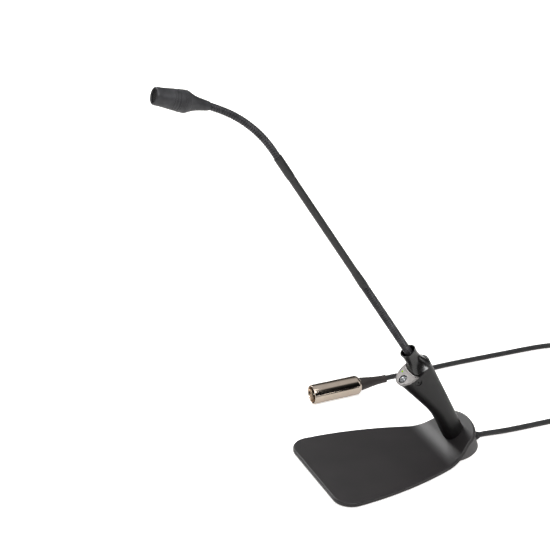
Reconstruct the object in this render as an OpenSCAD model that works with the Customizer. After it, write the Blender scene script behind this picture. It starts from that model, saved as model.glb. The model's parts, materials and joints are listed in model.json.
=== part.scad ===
// Desktop gooseneck microphone: weighted base, leaning post with a mute button,
// a neck that flexes near its foot and below its head, and an attached cable.
// +Z is up, the talker sits on the -Y side, and the origin is on the table, mid-width.

/* [Base plate] */
// Width of the plate along its straight front edge
base_w = 118; // [100:1:140]
// How far the front edge stands ahead of the origin
front_y = 78; // [66:1:94]
// Radius of the two front corners
corner_r = 17.8; // [8:0.1:24]
// How much each side draws in towards the ramp, in mm a side at 32 mm along, growing as the square
side_curve = 1.63; // [1.2:0.01:1.8]
// Thickness of the cast plate
plate_t = 4; // [3:0.1:5]
// Thickness of the rubber pad under the plate
pad_t = 1.2; // [0.8:0.1:2]
// How far the pad stays inside the plate's edge
pad_inset = 3; // [1.5:0.1:6]

/* [Ramp] */
// How far behind the origin the ramp starts to rise
ramp_y = 36.7; // [32:0.1:42]
// Radius of the bend on the upper side
ramp_r = 32.8; // [26:0.1:40]
// Slope of the ramp
ramp_angle = 35.4; // [30:0.1:40]
// Straight length of the ramp past the bend
ramp_l = 28; // [25:0.1:34]
// Length of the ramp's rounded end, measured along the slope
ramp_end_l = 15.6; // [12:0.1:20]

/* [Rear housing] */
// Half width of the housing under the ramp, at the table
lobe_half_w = 29; // [26:0.1:33]
// How far behind the origin the housing reaches, at the table
lobe_y = 88; // [84:0.1:94]
// Wall of the housing
lobe_wall = 2; // [1.5:0.1:3]

/* [Post] */
// Lean of the post towards the talker
post_lean = 26; // [20:0.5:32]
// Height of the post along its own axis, from the ramp to the middle of its top
post_h = 85.3; // [70:0.1:105]
// Depth of the post at its foot
post_depth = 19.7; // [18:0.1:24]
// Width of the post at its foot
post_foot_w = 22; // [20:0.5:26]
// Width of the post at its top
post_top_w = 28; // [26:0.5:34]
// Slope of the flared front face of the post
flare_slope = 0.3; // [0.26:0.01:0.34]
// Wall of the post
post_wall = 2; // [1.6:0.1:2.6]
// Slope of the top panel
panel_slope = 37; // [33:0.5:41]
// Thickness of the top panel
panel_t = 1.6; // [1.2:0.1:2.2]

/* [Button and lamp] */
// Radius of the button's dome
button_r = 2.8; // [2.4:0.1:3.2]
// Travel of the button
button_travel = 0.9; // [0.5:0.1:1.1]
// Radius of the bezel ring around the button
bezel_r = 4.4; // [4.1:0.1:4.8]
// Radius of the lamp's lens
lamp_r = 0.95; // [0.7:0.05:1.4]

/* [Boot] */
// Radius of the boot at its mouth
boot_r = 7.2; // [6.8:0.1:8.2]
// Wall of the boot at its mouth
boot_wall = 1.2; // [0.9:0.1:1.5]
// Height of the boot's mouth above the top panel
boot_h = 18.3; // [16:0.1:20]

/* [Neck] */
// Lean of the straight neck towards the talker
neck_lean = 31.7; // [28:0.1:34]
// Radius of the lower flexible tube
lower_flex_r = 3.7; // [3.3:0.05:4.2]
// Radius of the upper flexible tube
upper_flex_r = 3.2; // [2.9:0.05:3.6]
// Distance between two bending points of the lower flexible tube
lower_pitch = 17; // [15:0.1:20]
// Distance between two bending points of the upper flexible tube
upper_pitch = 15.85; // [14:0.05:19]
// Turn at each bending point of the upper flexible tube, as it is set
upper_turn = 8; // [0:0.1:9]
// Radius of the rigid tube
tube_r = 3.3; // [3:0.05:3.6]
// Visible length of the rigid tube between its two ferrules
tube_l = 113.7; // [90:0.1:180]
// Length of the lower ferrule
lower_ferrule_l = 17.6; // [14:0.1:22]
// Length of the upper ferrule
upper_ferrule_l = 24; // [20:0.1:28]

/* [Head] */
// Radius of the head where it is thickest
head_r = 9.1; // [8.6:0.05:9.6]
// Radius of the head at its front
head_front_r = 7.3; // [7:0.05:7.6]
// Length of the cone behind the head
cone_l = 23; // [19:0.1:28]
// Length of the capsule housing
housing_l = 21; // [19:0.1:25]

/* [Plug] */
// Radius of the plug's metal shell
shell_r = 9.5; // [9:0.05:10]
// Length of the plug's metal shell
shell_l = 50.6; // [44:0.1:58]
// Length of the plug's cable boot
plug_boot_l = 29.4; // [24:0.1:36]
// Sideways place of the plug on the table
plug_x = -122; // [-128:0.5:-116]

/* [Cable] */
// Diameter of the cable
cord_d = 5.2; // [4.6:0.1:5.4]

/* [Hidden] */
$fn = 64;

fit = 0.03;             // radial clearance of parts pressed or slid together
over = 0.5;             // how far a cut runs past the face that it opens
plate_top = pad_t + plate_t;

// ---------- shared shapes ----------

// Point on an oval with half sizes a and b; n = 2 is an ellipse and more is squarer
function oval(a, b, n, t) = [
    a * sign(cos(t)) * pow(abs(cos(t)), 2 / n),
    b * sign(sin(t)) * pow(abs(sin(t)), 2 / n)
];

// Closed skin through rings of points that all have the same count, from low to high
module skin(rings) {
    n = len(rings[0]);
    last = len(rings) - 1;
    sides = [for (i = [0:last - 1]) for (j = [0:n - 1])
        let (a = i * n + j, b = i * n + (j + 1) % n)
        each [[a, a + n, b + n], [a, b + n, b]]];
    caps = [[for (j = [0:n - 1]) j], [for (j = [n - 1:-1:0]) last * n + j]];
    polyhedron([for (r = rings) each r], concat(sides, caps));
}

// Places children in the frame of the post, the panel, the neck and the head
module at_post() {
    translate([0, post_y, post_z]) rotate([post_lean, 0, 0]) children();
}
module at_panel() {
    translate([0, panel_y, panel_z]) rotate([panel_slope, 0, 0]) children();
}
module at_neck(station = 0) {
    translate([0, mouth_y, mouth_z]) rotate([neck_lean, 0, 0]) translate([0, 0, station]) children();
}
module at_upper(k) {
    p = upper_hinge(k);
    translate([0, p[1], p[2]]) rotate([upper_lean(k), 0, 0]) children();
}

// ---------- base ----------

arc_z = plate_top + ramp_r;              // height of the bend's centre
ramp_start = front_y + ramp_y;           // length of the flat part
bend_l = ramp_r * ramp_angle * PI / 180; // length of the bend along the upper side
bend_y = ramp_y + ramp_r * sin(ramp_angle);
bend_z = plate_top + ramp_r * (1 - cos(ramp_angle));
plate_end_y = bend_y + ramp_l * cos(ramp_angle);
plate_l = ramp_start + bend_l + ramp_l;  // length of the plate if it were unbent

// Length along the unbent plate for a place y
function unbent(y) =
    y < ramp_y ? y + front_y :
    y < bend_y ? ramp_start + ramp_r * asin((y - ramp_y) / ramp_r) * PI / 180 :
    ramp_start + bend_l + (y - bend_y) / cos(ramp_angle);

// Half width of the plate before its ends are rounded, at length s
function plain_half(s) = base_w / 2 + 0.021 * s - side_curve * s * s / 1000;

// Half width of the plate at place y
function half_w(y) =
    let (s = unbent(y), end_s = plate_l - ramp_end_l)
    s < corner_r ? plain_half(s) - corner_r + sqrt(max(0, 2 * corner_r * s - s * s)) :
    s > end_s ? plain_half(end_s) * sqrt(max(0, 1 - pow((s - end_s) / ramp_end_l, 2))) :
    plain_half(s);

corner_steps = 10;
side_steps = 16;
end_steps = 10;
end_y0 = plate_end_y - ramp_end_l * cos(ramp_angle);
plate_ys = concat(
    [for (i = [0:corner_steps - 1]) -front_y + corner_r * (1 - cos(90 * i / corner_steps))],
    [for (i = [0:side_steps - 1]) corner_r - front_y + (end_y0 - corner_r + front_y) * i / side_steps],
    [for (i = [0:end_steps]) end_y0 + (plate_end_y - end_y0) * sin(90 * i / end_steps)]
);

module plate_outline() {
    last = len(plate_ys) - 1;
    polygon(concat(
        [for (y = plate_ys) [half_w(y), y]],
        [for (i = [last - 1:-1:0]) [-half_w(plate_ys[i]), plate_ys[i]]]
    ));
}

// Side view of the layer of the bent plate between heights low and high over the flat
module bent_layer(low, high) {
    translate([-front_y, low]) square([ramp_start, high - low]);
    translate([ramp_y, arc_z]) intersection() {
        difference() {
            circle(arc_z - low);
            if (high < arc_z) circle(arc_z - high);
        }
        polygon([[0, 0], [0, -2 * arc_z], 2 * arc_z * [sin(ramp_angle), -cos(ramp_angle)]]);
    }
    translate([ramp_y, arc_z]) rotate(ramp_angle) translate([0, low - arc_z])
        square([2 * ramp_l, high - low]);
}

module bent_block(low, high) {
    rotate([90, 0, 90]) translate([0, 0, -base_w]) linear_extrude(2 * base_w) bent_layer(low, high);
}

lead_hole_r = 3;       // hole for the lead from the base into the post
post_screw_x = 6.2;    // place of each post screw to the side of the post's axis
post_screw_r = 1.5;
screw_head_r = 2.8;
screw_head_h = 1.6;
housing_screw_x = 17;
housing_screw_y = 60;
housing_screw_r = 1.5;

module base_plate() {
    color("#2b2a2c") difference() {
        intersection() {
            bent_block(pad_t, plate_top);
            linear_extrude(arc_z) plate_outline();
        }
        at_post() {
            cylinder(h = 4 * plate_t, r = lead_hole_r, center = true);
            for (x = [-1, 1] * post_screw_x)
                translate([x, 0, 0]) cylinder(h = 4 * plate_t, r = post_screw_r + 0.2, center = true);
        }
        for (x = [-1, 1] * housing_screw_x)
            translate([x, housing_screw_y, 0]) cylinder(h = housing_screw_top, r = housing_screw_r - 0.25);
    }
}

module base_pad() {
    color("#1c1c1d") linear_extrude(pad_t) intersection() {
        offset(delta = -pad_inset) plate_outline();
        translate([-base_w, -front_y]) square([2 * base_w, ramp_start - pad_inset]);
    }
}

// ---------- rear housing under the ramp ----------

lobe_front_y = ramp_y + 9;   // front wall of the housing
lobe_mid_y = 54;             // where the rounded rear of the housing begins
lobe_floor = 1.6;            // thickness of the floor
foot_t = 1.5;                // thickness of the rear foot
foot_sink = 0.9;             // how deep the foot sits in the floor
lobe_z = foot_t - foot_sink; // height of the housing over the table
lobe_top_z = 26;
lobe_top_y = 77;             // how far back the housing reaches at its top
lobe_top_half = 25;
boss_r = 3.2;
boss_gap = 0.4;              // gap between a boss and the lowest point of the ramp above it
// height of the plate's underside above the housing screws, and the screws' upper end
ramp_under_z = bend_z + (housing_screw_y - bend_y) * tan(ramp_angle) - plate_t / cos(ramp_angle);
housing_screw_top = ramp_under_z + 2.2;
boss_top = ramp_under_z - boss_r * tan(ramp_angle) - boss_gap;

// Outline at height z with a flat front and a rounded rear
function lobe_ring(half, rear, wall, z) = concat(
    [[-half + wall, lobe_front_y + wall, z], [half - wall, lobe_front_y + wall, z]],
    [for (t = [0:9:180])
        [(half - wall) * cos(t), lobe_mid_y + (rear - wall - lobe_mid_y) * sin(t), z]]
);

module lobe_block(wall, low) {
    skin([
        lobe_ring(lobe_half_w, lobe_y, wall, low),
        lobe_ring(lobe_top_half, lobe_top_y, wall, lobe_top_z)
    ]);
}

gland_z = 4.4;
gland_r = 3.6;               // body of the gland inside the wall
gland_in_y = lobe_y - 12;
module rear_housing() {
    color("#3a3a3c") difference() {
        union() {
            difference() {
                lobe_block(0, lobe_z);
                lobe_block(lobe_wall, lobe_z + lobe_floor);
            }
            for (x = [-1, 1] * housing_screw_x)
                translate([x, housing_screw_y, lobe_z]) cylinder(h = boss_top - lobe_z, r = boss_r);
        }
        bent_block(pad_t - fit, arc_z);
        translate([0, lead_turn_y, gland_z]) rotate([-90, 0, 0]) cylinder(h = 2 * clamp_w, r = gland_r + fit);
        for (x = [-1, 1] * housing_screw_x) translate([x, housing_screw_y, 0]) {
            cylinder(h = lobe_top_z, r = housing_screw_r + 0.2);
            cylinder(h = lobe_z + screw_head_h, r = screw_head_r + 0.3);
        }
        translate([0, 0, -over]) linear_extrude(over + lobe_z + foot_sink) foot_outline(fit);
    }
}

foot_r = 5;
foot_half = 7;
foot_y = 69;
module foot_outline(grow) {
    for (x = [-1, 1] * foot_half) translate([x, foot_y]) circle(foot_r + grow);
    translate([-foot_half, foot_y - foot_r - grow]) square([2 * foot_half, 2 * (foot_r + grow)]);
}
module rear_foot() {
    color("#1c1c1d") linear_extrude(foot_t) foot_outline(0);
}

module housing_screws() {
    color("#8c8c8f") for (x = [-1, 1] * housing_screw_x) translate([x, housing_screw_y, lobe_z])
        difference() {
        union() {
            cylinder(h = housing_screw_top - lobe_z - 0.4, r = housing_screw_r - 0.3);
            translate([0, 0, 0.1]) cylinder(h = screw_head_h - 0.1, r = screw_head_r);
        }
        for (a = [0, 90]) rotate(a) cube([2.6, 0.7, 1.6], center = true);
    }
}

gland_collar_l = 4;          // visible taper outside the housing
gland_collar_r = 4.1;
module cable_gland() {
    color("#161617") translate([0, 0, gland_z]) rotate([-90, 0, 0]) difference() {
        union() {
            translate([0, 0, gland_in_y]) cylinder(h = lobe_y - gland_in_y, r = gland_r);
            translate([0, 0, lobe_y])
                cylinder(h = gland_collar_l, r1 = gland_collar_r, r2 = cord_d / 2 + 0.4);
        }
        translate([0, 0, gland_in_y - over]) cylinder(h = lobe_y - gland_in_y + over, r = cord_d / 2 + fit);
    }
}

clamp_y = lobe_y - 17;
clamp_w = 15;
clamp_t = 1.6;
clamp_l = 6;
clamp_screw_x = 5.4;
clamp_low = lobe_z + lobe_floor;
clamp_top = gland_z + cord_d / 2 + clamp_t;
module cable_clamp() {
    color("#b8b8ba") difference() {
        translate([-clamp_w / 2, clamp_y - clamp_l / 2, clamp_low])
            cube([clamp_w, clamp_l, clamp_top - clamp_low]);
        translate([0, clamp_y, gland_z]) rotate([90, 0, 0])
            cylinder(h = 2 * clamp_l, r = cord_d / 2 + fit, center = true);
        for (x = [-1, 1] * clamp_screw_x) translate([x, clamp_y, 0]) cylinder(h = 2 * clamp_top, r = 1.05);
    }
}
module clamp_screws() {
    color("#8c8c8f") for (x = [-1, 1] * clamp_screw_x) translate([x, clamp_y, 0]) {
        translate([0, 0, clamp_low + 0.1]) cylinder(h = clamp_top - clamp_low, r = 1);
        translate([0, 0, clamp_top]) cylinder(h = 1.2, r = 1.9);
    }
}

// Cable from the gland through the clamp, then the thinner lead up to the circuit board
lead_r = 1.6;
lead_turn_y = clamp_y - clamp_l / 2 - 1;
module inner_lead() {
    color("#202022") {
        translate([0, lead_turn_y, gland_z]) rotate([-90, 0, 0])
            cylinder(h = lobe_y - lead_turn_y, r = cord_d / 2);
        p = [0, lead_turn_y, gland_z];
        skin(tube_rings([p + [0, 1, 0], p + [0, -0.7, 0.5], p + [0, -1.4, 2.2], post_point(0, -8.4),
            post_point(0, -6), post_point(0, -3), post_point(0, 6), post_point(-1, 20), post_point(-4, 45),
            post_point(-8, 62), post_point(-11, 70)], lead_r, 10, false));
    }
}

// ---------- post ----------

post_n = 2.3;                // squareness of the post's section
flare_from = 20;             // height where the front face starts to flare
flare_full = 44;             // height where the flare reaches its full slope
foot_front = post_depth / 2;

// The post's axis meets the ramp this far along the slope past the bend
post_seat = 9.1;
post_y = bend_y + post_seat * cos(ramp_angle);
post_z = bend_z + post_seat * sin(ramp_angle);

// How far the front face has flared forward at height z
function flare(z) =
    z < flare_from ? 0 :
    z < flare_full ? flare_slope * pow(z - flare_from, 2) / (2 * (flare_full - flare_from)) :
    flare_slope * (z - (flare_from + flare_full) / 2);

// Point in the post's own section plane, given in the part's frame
function post_point(y, z) = [
    0,
    post_y + y * cos(post_lean) - z * sin(post_lean),
    post_z + y * sin(post_lean) + z * cos(post_lean)
];

// Middle and half sizes of the section at height z
function section_y(z) = -flare(z) / 2;
function section_b(z) = foot_front + flare(z) / 2;
function section_a(z) = (post_foot_w + (post_top_w - post_foot_w) * min(1, max(0, z / post_h))) / 2;

function post_ring(z, wall) = [for (t = [0:9:351])
    let (p = oval(section_a(z) - wall, section_b(z) - wall, post_n, t)) [p[0], p[1] + section_y(z), z]];

post_zs = [-12, 10, 20, 26, 32, 38, 44, 60, 76, 96];
module post_block(wall) {
    at_post() skin([for (z = post_zs) post_ring(z, wall)]);
}

// Middle of the top panel
top_mid_y = section_y(post_h);
panel_y = post_point(top_mid_y, post_h)[1];
panel_z = post_point(top_mid_y, post_h)[2];
tilt = panel_slope - post_lean;          // slope of the top seen from the post's axis
panel_half = section_b(post_h) / cos(tilt) + 0.15;

module above_panel(z) {
    at_panel() translate([-50, -50, z]) cube([100, 100, 60]);
}

boss_h = 14;
post_floor_h = 5;
module post_shell() {
    color("#262628") difference() {
        union() {
            difference() {
                post_block(0);
                intersection() {
                    post_block(post_wall);
                    at_post() translate([-50, -50, post_floor_h]) cube([100, 100, 200]);
                }
            }
            at_post() for (x = [-1, 1] * post_screw_x) translate([x, 0, -4])
                cylinder(h = boss_h + 4, r = 2.9);
        }
        above_panel(-panel_t);
        bent_block(-arc_z, plate_top + fit);
        at_post() {
            translate([0, 0, -20]) cylinder(h = 30, r = lead_hole_r);
            for (x = [-1, 1] * post_screw_x)
                translate([x, 0, -20]) cylinder(h = 20 + boss_h - 2, r = post_screw_r);
        }
        at_side_screw() {
            translate([0, 0, -screw_sink]) cylinder(h = 20, r = side_recess_r);
            cylinder(h = 40, r = side_screw_r + 0.2, center = true);
        }
    }
}

module post_screws() {
    color("#8c8c8f") at_post() for (x = [-1, 1] * post_screw_x) translate([x, 0, 0]) difference() {
        union() {
            translate([0, 0, screw_foot - screw_head_h]) cylinder(h = screw_head_h, r = screw_head_r);
            translate([0, 0, screw_foot - fit]) cylinder(h = boss_h - 3 - screw_foot, r = post_screw_r - fit);
        }
        translate([0, 0, screw_foot - screw_head_h]) for (a = [0, 90]) rotate(a)
            cube([2.6, 0.7, 1.6], center = true);
    }
}
// The screw heads stay clear of the sloping underside of the ramp
screw_foot = -plate_t / cos(ramp_angle - post_lean) - 0.6;

// ---------- top panel, button and lamp ----------

button_y = 6.6 - panel_half; // button behind the panel's front tip
lamp_y = button_y + 4.6;
lamp_x = -8.2;
leaf_edge = 15.2 - panel_half; // rear edge of the silver panel at its middle
leaf_arc_r = 38;             // radius of that edge
bezel_bore = button_r + 0.35;
panel_lip = 0.25;            // how far the panel stays inside the shell's outline

module panel_outline(grow) {
    difference() {
        polygon([for (t = [0:6:354]) oval(section_a(post_h) + grow, panel_half + grow, post_n, t)]);
        translate([0, leaf_edge + leaf_arc_r]) circle(leaf_arc_r, $fn = 180);
    }
}

lug_x = 6;                   // inner face of the lug that the side screw holds
lug_w = 4;
lug_h = 9;
lug_l = 7;
lug_gap = 0.3;               // the wide part of the lug stays this far below the boot
lug_neck_l = 4;              // length of the part that joins the panel
module top_panel() {
    color("#9b9b9d") difference() {
        union() {
            at_panel() translate([0, 0, -panel_t]) linear_extrude(panel_t) panel_outline(-panel_lip);
            at_panel() translate([lug_x, side_local_y - lug_l / 2, -lug_h]) {
                cube([lug_w, lug_l, lug_h - panel_t - lug_gap]);
                cube([lug_w, lug_neck_l, lug_h - panel_t / 2]);
            }
        }
        at_panel() {
            translate([0, button_y, -over - panel_t]) cylinder(h = 4, r = bezel_r + fit);
            translate([lamp_x, lamp_y, -over - panel_t]) cylinder(h = 4, r = lamp_r + fit);
        }
        at_side_screw() cylinder(h = 40, r = side_screw_r + fit, center = true);
    }
}

module button_bezel() {
    color("#39393b") at_panel() translate([0, button_y, 0]) difference() {
        translate([0, 0, -panel_t]) cylinder(h = panel_t + 0.25, r = bezel_r);
        translate([0, 0, -panel_t - over]) cylinder(h = 4, r = bezel_bore);
        translate([0, 0, -0.5]) cylinder(h = 2, r1 = bezel_bore, r2 = bezel_r + 0.8);
    }
}

dome_h = 1.3;
cap_skirt_r = bezel_bore - 0.06;         // running fit in the bezel
skirt_low = -panel_t - 0.9;
module button_cap() {
    dome_r = (button_r * button_r + dome_h * dome_h) / (2 * dome_h);
    color("#8f9092") at_panel() translate([0, button_y, 0]) {
        translate([0, 0, skirt_low]) cylinder(h = -0.6 - skirt_low, r = cap_skirt_r);
        translate([0, 0, -0.7]) cylinder(h = 0.7, r = button_r);
        intersection() {
            translate([0, 0, dome_h - dome_r]) sphere(dome_r);
            translate([0, 0, -0.1]) cylinder(h = 2 * dome_h, r = button_r);
        }
    }
}

switch_gap = button_travel + 0.15; // room left under the cap when it is out
switch_top = skirt_low - switch_gap;
board_z = -8.6;              // upper side of the circuit board under the panel
board_t = 1.6;
switch_w = 4.8;
switch_l = 4;
switch_h = 3.4;
module switch_body() {
    color("#1f1f21") at_panel() translate([0, button_y, 0]) {
        translate([-switch_w / 2, -switch_l / 2, board_z]) cube([switch_w, switch_l, switch_h]);
        translate([0, 0, board_z + switch_h]) cylinder(h = switch_top - board_z - switch_h, r = 1.6);
    }
}

board_side = 8;              // the board reaches under the lamp on this side
board_front = button_y - 0.6;
board_rear = button_y + 6.4;
module circuit_board() {
    right = lug_x - 0.4;
    color("#1f5a37") at_panel() translate([0, 0, board_z - board_t]) linear_extrude(board_t) polygon([
        [-4.4, board_front], [4.4, board_front], [right, board_front + 1.4], [right, board_rear],
        [-board_side, board_rear], [-board_side, board_front + 2.8]
    ]);
}

module lamp_lens() {
    color("#a8d52a") at_panel() translate([lamp_x, lamp_y, 0]) {
        translate([0, 0, -panel_t - 1]) cylinder(h = panel_t + 1, r = lamp_r);
        intersection() {
            translate([0, 0, -lamp_r * 0.4]) sphere(lamp_r * 1.1);
            cylinder(h = 2, r = lamp_r);
        }
    }
}

side_screw_r = 1.5;
side_recess_r = 2.9;
side_local_y = 14.3 - panel_half; // place of the side screw along the panel
side_local_z = -5.1;
screw_sink = 1.3;            // depth of the screw's recess in the post's side
screw_bite = 0.2;            // how far the screw's shank reaches into its head
screw_face_x = section_a(post_h) - 0.9;
module at_side_screw() {
    at_panel() translate([screw_face_x, side_local_y, side_local_z]) rotate([0, 90, 0]) children();
}
module side_screw() {
    color("#29292b") at_side_screw() difference() {
        union() {
            translate([0, 0, fit - screw_sink]) cylinder(h = 0.95, r = side_recess_r - 0.5);
            translate([0, 0, -screw_face_x + lug_x - 1])
                cylinder(h = screw_face_x - lug_x - screw_sink + 1 + screw_bite, r = side_screw_r);
        }
        translate([0, 0, -screw_sink]) cylinder(h = 2, r = 0.95, $fn = 6);
    }
}

// ---------- boot, socket and neck ----------

// The neck's axis crosses the panel this far behind the panel's middle
neck_local_y = 6.2;
neck_foot_y = panel_y + neck_local_y * cos(panel_slope);
neck_foot_z = panel_z + neck_local_y * sin(panel_slope);
mouth_y = neck_foot_y - boot_h * sin(neck_lean);
mouth_z = neck_foot_z + boot_h * cos(neck_lean);

boot_flare_h = 13;           // height of the flared part of the boot
boot_low = 3;                // how far the boot's skin starts below the panel
boot_half_x = section_a(post_h) - 1.1;
boot_half_y = (panel_half - leaf_edge) / 2 - 0.9;
boot_mid_y = (panel_half + leaf_edge) / 2 - neck_local_y - 0.4;

// Share of the base outline that is left at height h: 1 at the panel, 0 where the flare ends
function boot_share(h) = pow(max(0, 1 - max(0, h) / boot_flare_h), 2.2);
function boot_ring(h) = [for (t = [0:9:351])
    let (
        s = boot_share(h),
        wide = oval(boot_half_x, boot_half_y, 2.8, t),
        waist = boot_r - 0.35,
        round = [waist * cos(t), waist * sin(t)]
    )
    [for (i = [0, 1]) s * (wide[i] + (i == 1 ? boot_mid_y : 0)) + (1 - s) * round[i]]
];
boot_hs = [-boot_low, 0, 0.8, 1.8, 3, 4.5, 6.2, 8.2, 10.5, boot_flare_h, boot_h - 2.5];
boot_cup_l = 12;             // depth of the cup around the neck

module neck_boot() {
    color("#1b1b1d") difference() {
        union() {
            at_neck(-boot_h) skin([for (h = boot_hs) [for (p = boot_ring(h)) [p[0], p[1], h]]]);
            at_neck(-2.6) cylinder(h = 2.6, r1 = boot_r - 0.35, r2 = boot_r);
        }
        at_panel() translate([-50, -50, -60 - panel_t]) cube([100, 100, 60]);
        at_panel() translate([0, 0, -20]) linear_extrude(20) panel_outline(1);
        at_neck(-boot_cup_l) cylinder(h = boot_cup_l + over, r = boot_r - boot_wall);
        at_neck(-40) cylinder(h = 60, r = socket_r + fit);
    }
}

socket_r = 5.4;
plug_r = 4.5;
socket_low = -31;
module neck_socket() {
    color("#8a8a8c") at_neck(socket_low) difference() {
        cylinder(h = -boot_cup_l - socket_low, r = socket_r);
        translate([0, 0, -over]) cylinder(h = 40, r = plug_r + fit);
    }
}

contact_h = 6;
pin_r = 0.5;
pin_ring_r = 2.4;
module pin_places() {
    for (a = [45:90:315]) rotate(a) translate([pin_ring_r, 0, 0]) children();
}
module socket_contacts() {
    color("#222224") at_neck(socket_low - contact_h) difference() {
        cylinder(h = contact_h, r = socket_r);
        translate([0, 0, 1]) pin_places() cylinder(h = contact_h, r = pin_r + fit);
    }
}
module plug_pins() {
    color("#c9a64a") at_neck(socket_low - contact_h + 1.5) pin_places()
        cylinder(h = contact_h + 0.5, r = pin_r);
}
plug_low = socket_low + 0.2;
plug_high = -10.5;
module neck_plug() {
    color("#6d6d70") at_neck(plug_low) difference() {
        cylinder(h = plug_high - plug_low, r = plug_r);
        translate([0, 0, -over]) pin_places() cylinder(h = 3, r = pin_r + fit);
    }
}

flex_gap = 2.2;              // space between two links of a flexible tube
bore_r = 1.3;                // room for the lead inside the tubes
lower_first = 12;            // first bending point above the boot's mouth
lower_count = 5;
lower_flex_end = 87.1;       // where the lower ferrule begins
lower_ball_r = 2.7;
upper_ball_r = 2.3;
ball_fit = 0.08;

// Link of a flexible tube: a ball sits in the link below it
module flex_link(low, high, r, ball, has_ball, has_cup) {
    color("#242426") difference() {
        union() {
            translate([0, 0, low]) cylinder(h = high - low, r = r);
            if (has_ball) sphere(ball);
        }
        if (has_cup) translate([0, 0, high + flex_gap / 2]) sphere(ball + ball_fit);
        translate([0, 0, min(low, -ball) - over]) cylinder(h = high - low + 4 * ball, r = bore_r);
    }
}
module lower_link(k) {
    at_neck(lower_first + (k - 2) * lower_pitch)
        flex_link(flex_gap / 2, lower_pitch - flex_gap / 2, lower_flex_r, lower_ball_r, true, true);
}
module lower_flex_1() {
    at_neck(plug_high)
        flex_link(0, lower_first - plug_high - flex_gap / 2, lower_flex_r, lower_ball_r, false, true);
}
module lower_flex_2() { lower_link(2); }
module lower_flex_3() { lower_link(3); }
module lower_flex_4() { lower_link(4); }
module lower_flex_5() { lower_link(5); }
module lower_flex_6() {
    at_neck(lower_last)
        flex_link(flex_gap / 2, lower_end - lower_last, lower_flex_r, lower_ball_r, true, false);
}
lower_last = lower_first + (lower_count - 1) * lower_pitch;
lower_end = lower_last + lower_flex_end - 80; // upper end of the lower flexible tube

tube_low = lower_end + 4.5;  // the tube starts inside the lower ferrule
ferrule_top = lower_end + lower_ferrule_l;
upper_ferrule_low = ferrule_top + tube_l;
upper_ferrule_top = upper_ferrule_low + upper_ferrule_l;
tube_high = upper_ferrule_top - 4.5;
module lower_ferrule() {
    color("#29292b") at_neck() difference() {
        union() {
            translate([0, 0, lower_end]) cylinder(h = 5, r = lower_flex_r + 0.1);
            translate([0, 0, lower_end + 5])
                cylinder(h = lower_ferrule_l - 5, r1 = lower_flex_r + 0.1, r2 = tube_r + 0.22);
        }
        translate([0, 0, lower_end - over]) cylinder(h = 10, r = bore_r);
        translate([0, 0, tube_low]) cylinder(h = lower_ferrule_l, r = tube_r + fit);
    }
}
module rigid_tube() {
    color("#29292b") at_neck(tube_low) difference() {
        cylinder(h = tube_high - tube_low, r = tube_r);
        translate([0, 0, -over]) cylinder(h = tube_high - tube_low + 2 * over, r = tube_r - 0.9);
    }
}
module neck_lead() {
    color("#3c3c3f") at_neck(tube_low - 3) cylinder(h = tube_high - tube_low + 6, r = bore_r - 0.2);
}
module upper_ferrule() {
    color("#29292b") at_neck() difference() {
        union() {
            translate([0, 0, upper_ferrule_low]) cylinder(h = 4, r1 = tube_r + 0.12, r2 = tube_r + 0.38);
            translate([0, 0, upper_ferrule_low + 4]) cylinder(h = upper_ferrule_l - 4, r = tube_r + 0.38);
        }
        translate([0, 0, upper_ferrule_low - over])
            cylinder(h = tube_high - upper_ferrule_low + over, r = tube_r + fit);
        translate([0, 0, tube_high - over]) cylinder(h = 10, r = bore_r);
    }
}

// Bending points of the upper flexible tube, numbered from 1
upper_first = upper_ferrule_top + 14.8;
upper_count = 5;
function upper_lean(k) = neck_lean + upper_turn * k;
function upper_hinge(k) = k <= 1 ?
    [0, mouth_y - upper_first * sin(neck_lean), mouth_z + upper_first * cos(neck_lean)] :
    upper_hinge(k - 1) + upper_pitch * [0, -sin(upper_lean(k - 1)), cos(upper_lean(k - 1))];

module upper_link(k) {
    at_upper(k - 1)
        flex_link(flex_gap / 2, upper_pitch - flex_gap / 2, upper_flex_r, upper_ball_r, true, true);
}
module upper_flex_1() {
    at_neck(upper_ferrule_top)
        flex_link(0, upper_first - upper_ferrule_top - flex_gap / 2, upper_flex_r, upper_ball_r, false, true);
}
module upper_flex_2() { upper_link(2); }
module upper_flex_3() { upper_link(3); }
module upper_flex_4() { upper_link(4); }
module upper_flex_5() { upper_link(5); }

// ---------- head ----------

cone_low = flex_gap / 2;
cone_high = cone_low + cone_l;
ring_l = 4;
ring_high = cone_high + ring_l;
head_front = ring_high + housing_l;
head_wall = 1.2;
grille_sink = 1;             // the grille lies this far inside the front rim

cone_hollow = 1.45;          // 1 is a straight cone and more is hollower
module at_head() {
    at_upper(upper_count) children();
}
module head_cone() {
    steps = 8;
    small_r = upper_flex_r + 0.5;
    color("#2a2a2c") at_head() difference() {
        union() {
            rotate_extrude() polygon(concat(
                [[0, cone_low]],
                [for (i = [0:steps]) [small_r + (head_r - 0.25 - small_r) * pow(i / steps, cone_hollow),
                    cone_low + cone_l * i / steps]],
                [[0, cone_high]]
            ));
            sphere(upper_ball_r);
        }
        translate([0, 0, -4]) cylinder(h = 20, r = bore_r);
        translate([0, 0, cone_high - 8]) cylinder(h = 10, r1 = 2.5, r2 = head_r - 2.4);
    }
}
module lock_ring() {
    color("#2f2f31") at_head() translate([0, 0, cone_high]) difference() {
        cylinder(h = ring_l, r = head_r);
        translate([0, 0, -over]) cylinder(h = ring_l + 2 * over, r = head_r - 2);
        translate([0, 0, ring_l - 0.9]) rotate_extrude() translate([head_r, 0]) circle(0.35, $fn = 16);
    }
}
slot_turns = [250, 290];     // places of the two rear sound slots, on the lower side
slot_w = 1.6;
slot_l = 5.6;
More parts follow.
